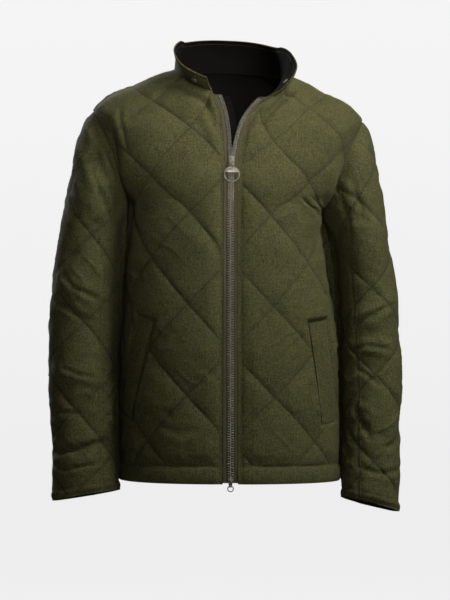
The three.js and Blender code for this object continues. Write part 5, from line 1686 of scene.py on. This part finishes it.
# Settings
class JacketSizes(bpy.types.PropertyGroup):
    padding_rise: FloatProperty(
        name="Padding rise",
        description="How far the padding rises above the stitch lines",
        default=0.0078,
        unit="LENGTH",
    )
    diamond_half_across: FloatProperty(
        name="Half diamond",
        description="Half the width of a quilted diamond",
        default=0.071,
        unit="LENGTH",
    )
    hem_roll: FloatProperty(
        name="Hem roll",
        description="Rise of the turned hem below its stitching",
        default=0.0052,
        unit="LENGTH",
    )
    crumple_rise: FloatProperty(
        name="Crumple",
        description="Rise of the short wrinkles on the padding",
        default=0.0024,
        unit="LENGTH",
    )
    cloth_mesh: FloatProperty(
        name="Cloth mesh",
        description="Spacing of the mesh on the cloth",
        default=0.0025,
        unit="LENGTH",
    )
    tooth_pitch: FloatProperty(
        name="Tooth pitch",
        description="Distance between two teeth on one side of the zip",
        default=0.0042,
        unit="LENGTH",
    )


class JacketColours(bpy.types.PropertyGroup):
    shell: FloatVectorProperty(
        name="Shell",
        description="Darker yarn of the shell cloth",
        subtype="COLOR",
        default=(0.051, 0.0485, 0.0165),
    )
    shell_thread: FloatVectorProperty(
        name="Shell yarn",
        description="Lighter yarn of the shell cloth",
        subtype="COLOR",
        default=(0.123, 0.1165, 0.0395),
    )
    facing: FloatVectorProperty(
        name="Facing",
        description="Cloth inside the collar and behind the zip",
        subtype="COLOR",
        default=(0.005, 0.0042, 0.0035),
    )
    lining: FloatVectorProperty(
        name="Lining",
        description="Cloth inside the body and the sleeves",
        subtype="COLOR",
        default=(0.012, 0.01, 0.008),
    )
    tape: FloatVectorProperty(
        name="Tape",
        description="Woven tape of the zip",
        subtype="COLOR",
        default=(0.085, 0.072, 0.04),
    )
    metal: FloatVectorProperty(
        name="Metal",
        description="Bright parts of the antique metal",
        subtype="COLOR",
        default=(0.4, 0.365, 0.28),
    )
    thread: FloatVectorProperty(
        name="Thread",
        description="Sewing thread",
        subtype="COLOR",
        default=(0.085, 0.08, 0.04),
    )


# The photo's view, in metres and degrees; its lens follows from the size of a pixel
CAMERA_TURN, CAMERA_DISTANCE, CAMERA_AIM = 3.5, 4.5, (0, 0, -0.387)
PICTURE_ROWS, PIXEL_SIZE, SENSOR_HEIGHT, CAMERA_REACH = 600, 0.00172, 36, 100
LAMPS = (
    # name, place, aim, size, power in watts, spread in degrees
    ("key", (1.0, -1.0, 1.1), (0.1, 0, 0), 0.7, 25, 180),
    ("side", (2.2, -0.7, 0.9), (0, 0, -0.2), 0.9, 8, 180),
    ("fill", (0.3, -4.0, 0.4), CAMERA_AIM, 2.0, 16, 180),
    ("chest", (0.2, -3.0, 0.7), (-0.05, 0, -0.1), 0.5, 0.28, 14),
    ("back", (-1.3, 2.3, 1.4), CAMERA_AIM, 1.4, 50, 180),
)
# Strength of the room for the camera alone and for everything, and of the paper for everything
ROOM_SEEN, ROOM_LIGHT, PAPER_LIGHT = 0.85, 0.006, 0.05
FLOOR_Z, WALL_Y, BEND, WALL_TOP, FLOOR_FRONT, FLOOR_HALF = -1.3, 8.5, 1.0, 5.0, -7.0, 8


# Operators
class JACKET_OT_stage(bpy.types.Operator):
    """Makes the camera, the studio light, the floor and the backdrop"""

    bl_idname = "jacket.stage"
    bl_label = "Stage"

    def execute(self, context):
        scene = context.scene
        turn = math.radians(CAMERA_TURN)
        look = Vector((math.sin(turn), math.cos(turn), 0))
        camera = bpy.data.cameras.new("camera")
        camera.sensor_fit = "VERTICAL"
        camera.sensor_height = SENSOR_HEIGHT
        camera.lens = SENSOR_HEIGHT * CAMERA_DISTANCE / (PICTURE_ROWS * PIXEL_SIZE)
        camera.clip_end = CAMERA_REACH
        eye = bpy.data.objects.new("camera", camera)
        eye.location = Vector(CAMERA_AIM) - look * CAMERA_DISTANCE
        eye.rotation_euler = (math.pi / 2, 0, -turn)
        scene.collection.objects.link(eye)
        scene.camera = eye
        for lamp in LAMPS:
            self.lamp(*lamp)
        self.backdrop()
        # The room around the paper is pale to the eye and gives the jacket almost no light.
        world = bpy.data.worlds.new("studio")
        world.use_nodes = True
        tree = world.node_tree
        seen = tree.nodes.new("ShaderNodeLightPath")
        room = math_node(tree, "MULTIPLY_ADD", seen.outputs["Is Camera Ray"], ROOM_SEEN, ROOM_LIGHT)
        tree.nodes["Background"].inputs[0].default_value = (1, 1, 1, 1)
        tree.links.new(room, tree.nodes["Background"].inputs[1])
        scene.world = world
        scene.view_settings.view_transform = "Standard"
        return {"FINISHED"}

    @staticmethod
    def lamp(name, place, aim, size, power, spread):
        data = bpy.data.lights.new(name, "AREA")
        data.shape = "DISK"
        data.spread = math.radians(spread)
        data.size = size
        data.energy = power
        lamp = bpy.data.objects.new(name, data)
        lamp.location = place
        way = Vector(aim) - Vector(place)
        lamp.rotation_euler = way.to_track_quat("-Z", "Y").to_euler()
        bpy.context.scene.collection.objects.link(lamp)

    @staticmethod
    def backdrop():
        """A floor that sweeps up behind into a wall."""
        profile = [(FLOOR_FRONT, FLOOR_Z), (WALL_Y - BEND, FLOOR_Z)]
        for k in range(1, 12):
            angle = k / 12 * math.pi / 2
            rise = BEND * (1 - math.cos(angle))
            profile.append((WALL_Y - BEND + BEND * math.sin(angle), FLOOR_Z + rise))
        profile += [(WALL_Y, FLOOR_Z + BEND), (WALL_Y, WALL_TOP)]
        points = [(x, y, z) for x in (-FLOOR_HALF, FLOOR_HALF) for y, z in profile]
        count = len(profile)
        faces = [(k, k + 1, count + k + 1, count + k) for k in range(count - 1)]
        sweep = mesh_object("backdrop", np.array(points) / MM, faces)
        material, tree, shader = new_material("pale paper")
        place = tree.nodes.new("ShaderNodeTexCoord")
        grain = node(tree, "ShaderNodeTexNoise", Scale=3.0, Detail=3.0)
        tree.links.new(place.outputs["Object"], grain.inputs["Vector"])
        tone = mix_colour(tree, grain.outputs["Fac"], (0.09, 0.09, 0.0895), (0.1, 0.1, 0.1))
        tree.links.new(tone, shader.inputs["Base Color"])
        shader.inputs["Roughness"].default_value = 0.95
        shader.inputs["Specular IOR Level"].default_value = 0.0
        # The paper glows for the camera, brighter further up, and gives the jacket little light.
        seen = tree.nodes.new("ShaderNodeLightPath")
        height = tree.nodes.new("ShaderNodeSeparateXYZ")
        tree.links.new(place.outputs["Object"], height.inputs[0])
        rise = math_node(tree, "MULTIPLY_ADD", height.outputs[2], 0.4, 0.62, clamp=True)
        bright = math_node(tree, "MULTIPLY_ADD", rise, 0.065, 0.79)
        glow = math_node(tree, "MULTIPLY_ADD", seen.outputs["Is Camera Ray"], bright, PAPER_LIGHT)
        shader.inputs["Emission Color"].default_value = (1, 1, 1, 1)
        tree.links.new(glow, shader.inputs["Emission Strength"])
        sweep.data.materials.append(material)


class JACKET_OT_body(bpy.types.Operator):
    """Makes the two fronts and the back, with their padding, folds and turned hem"""

    bl_idname = "jacket.body"
    bl_label = "Fronts and back"

    def execute(self, context):
        sizes = context.scene.jacket_sizes
        cuts = {"front_right": (0.27, 0.78), "front_left": (0.27, 0.78), "back": (0.54, 0.78)}
        for name, flat in cuts.items():
            piece = build_panel(name, sizes)
            dress(piece, "quilted shell cloth", inside="lining cloth")
            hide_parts(name)
        return {"FINISHED"}


class JACKET_OT_sleeves(bpy.types.Operator):
    """Makes both two-piece sleeves, with their padding, folds and turned cuffs"""

    bl_idname = "jacket.sleeves"
    bl_label = "Sleeves"

    def execute(self, context):
        sizes = context.scene.jacket_sizes
        for side, word in ((-1, "right"), (1, "left")):
            for part, (piece, area) in build_sleeve(side, sizes).items():
                dress(piece, "quilted shell cloth", inside="lining cloth")
                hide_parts(f"{part}_sleeve_{word}")
                flat = (0.36, 0.7) if part == "upper" else (0.17, 0.6)
                area = min(area, flat[0] * flat[1])
        return {"FINISHED"}


class JACKET_OT_collar(bpy.types.Operator):
    """Makes the stand collar, its dark facing and its two press studs"""

    bl_idname = "jacket.collar"
    bl_label = "Collar"

    def execute(self, context):
        shell, facing, grid, inside = build_collar()
        dress(shell, "plain shell cloth")
        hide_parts("collar_shell")
        dress(facing, "dark facing cloth")
        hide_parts("collar_facing")
        LINES["collar"] = grid
        LINES["facing"] = inside
        cap = build_snap("snap_cap", grid, tuple(zip(CAP_RADII, CAP_HEIGHTS)))
        socket = build_snap("snap_socket", inside, tuple(zip(SOCKET_RADII, SOCKET_HEIGHTS)))
        for piece, solid in ((cap, "snap_cap"), (socket, "snap_socket")):
            dress(piece, "antique metal")
            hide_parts(solid)
        return {"FINISHED"}


class JACKET_OT_welts(bpy.types.Operator):
    """Makes the two pocket welts"""

    bl_idname = "jacket.welts"
    bl_label = "Pocket welts"

    def execute(self, context):
        for side, word in ((-1, "right"), (1, "left")):
            piece, grid = build_welt(side, word)
            dress(piece, "plain shell cloth")
            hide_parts("welt_" + word)
            LINES["welt_" + word] = grid
        return {"FINISHED"}


class JACKET_OT_zip(bpy.types.Operator):
    """Makes the zip's tapes, its single teeth and the storm flap behind them"""

    bl_idname = "jacket.zip"
    bl_label = "Zip and storm flap"

    def execute(self, context):
        pitch = context.scene.jacket_sizes.tooth_pitch / MM
        ups = np.linspace(TAPE_FROM, ZIP_TOP, 301)
        widths = np.linspace(*TAPE_EDGES, 36)
        for side, word in ((-1, "right"), (1, "left")):
            tape = strip("tape_" + word, side, ups, widths, TAPE_TOP, TAPE_CLOTH, tape_relief)
            dress(tape, "zip tape")
            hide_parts("zip_tape_" + word)
            teeth = build_teeth(side, word, pitch)
            dress(teeth, "antique metal")
            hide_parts("zip_teeth_" + word)
        ups = np.linspace(FLAP_FROM, ZIP_TOP, 79)
        widths = np.linspace(*FLAP_EDGES, 15)
        flap = strip("flap_cloth", -1, ups, widths, FLAP_TOP, FLAP_CLOTH, flap_relief)
        dress(flap, "dark facing cloth")
        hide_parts("storm_flap")
        return {"FINISHED"}


class JACKET_OT_sliders(bpy.types.Operator):
    """Makes both sliders and the rings that hang from them"""

    bl_idname = "jacket.sliders"
    bl_label = "Sliders and rings"

    def execute(self, context):
        for name in SLIDERS:
            slider = dress(build_slider(name), "antique metal")
            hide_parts("slider_" + name)
            ring = dress(build_pull(name), "antique metal", name + "_pull")
            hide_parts("pull_" + name)
        return {"FINISHED"}


class JACKET_OT_stitching(bpy.types.Operator):
    """Sews the quilting, the hem, the front edges, the collar and the welts"""

    bl_idname = "jacket.stitching"
    bl_label = "Stitching"

    def execute(self, context):
        for name, grid in PANELS.items():
            self.sew("stitches_" + name, quilt_runs(grid) + edge_runs(name, grid))
        for name, grid in SLEEVES.items():
            self.sew("stitches_" + name, quilt_runs(grid))
        for name in ("collar", "facing"):
            self.sew("stitches_" + name, collar_runs(LINES[name]))
        for name in ("welt_right", "welt_left"):
            self.sew("stitches_" + name, welt_runs(LINES[name]))
        return {"FINISHED"}

    @staticmethod
    def sew(name, runs):
        piece = stitch_mesh(name, runs)
        dress(piece, "stitching thread")


class JACKET_PT_panel(bpy.types.Panel):
    """Lists the jacket's operators and settings"""

    bl_label = "Jacket"
    bl_idname = "JACKET_PT_panel"
    bl_space_type = "VIEW_3D"
    bl_region_type = "UI"
    bl_category = "Jacket"

    def draw(self, context):
        column = self.layout.column()
        for operator in OPERATORS:
            column.operator(operator.bl_idname)
        for group in (context.scene.jacket_sizes, context.scene.jacket_colours):
            for name in group.__annotations__:
                column.prop(group, name)


OPERATORS = (
    JACKET_OT_stage,
    JACKET_OT_body,
    JACKET_OT_sleeves,
    JACKET_OT_collar,
    JACKET_OT_welts,
    JACKET_OT_zip,
    JACKET_OT_sliders,
    JACKET_OT_stitching,
)
CLASSES = (JacketSizes, JacketColours, *OPERATORS, JACKET_PT_panel)


def register():
    for cls in CLASSES:
        bpy.utils.register_class(cls)
    bpy.types.Scene.jacket_sizes = PointerProperty(type=JacketSizes)
    bpy.types.Scene.jacket_colours = PointerProperty(type=JacketColours)


def unregister():
    del bpy.types.Scene.jacket_colours
    del bpy.types.Scene.jacket_sizes
    for cls in reversed(CLASSES):
        bpy.utils.unregister_class(cls)


def main():
    register()
    for operator in OPERATORS:
        group, name = operator.bl_idname.split(".")
        getattr(getattr(bpy.ops, group), name)()


if __name__ == "__main__":
    main()
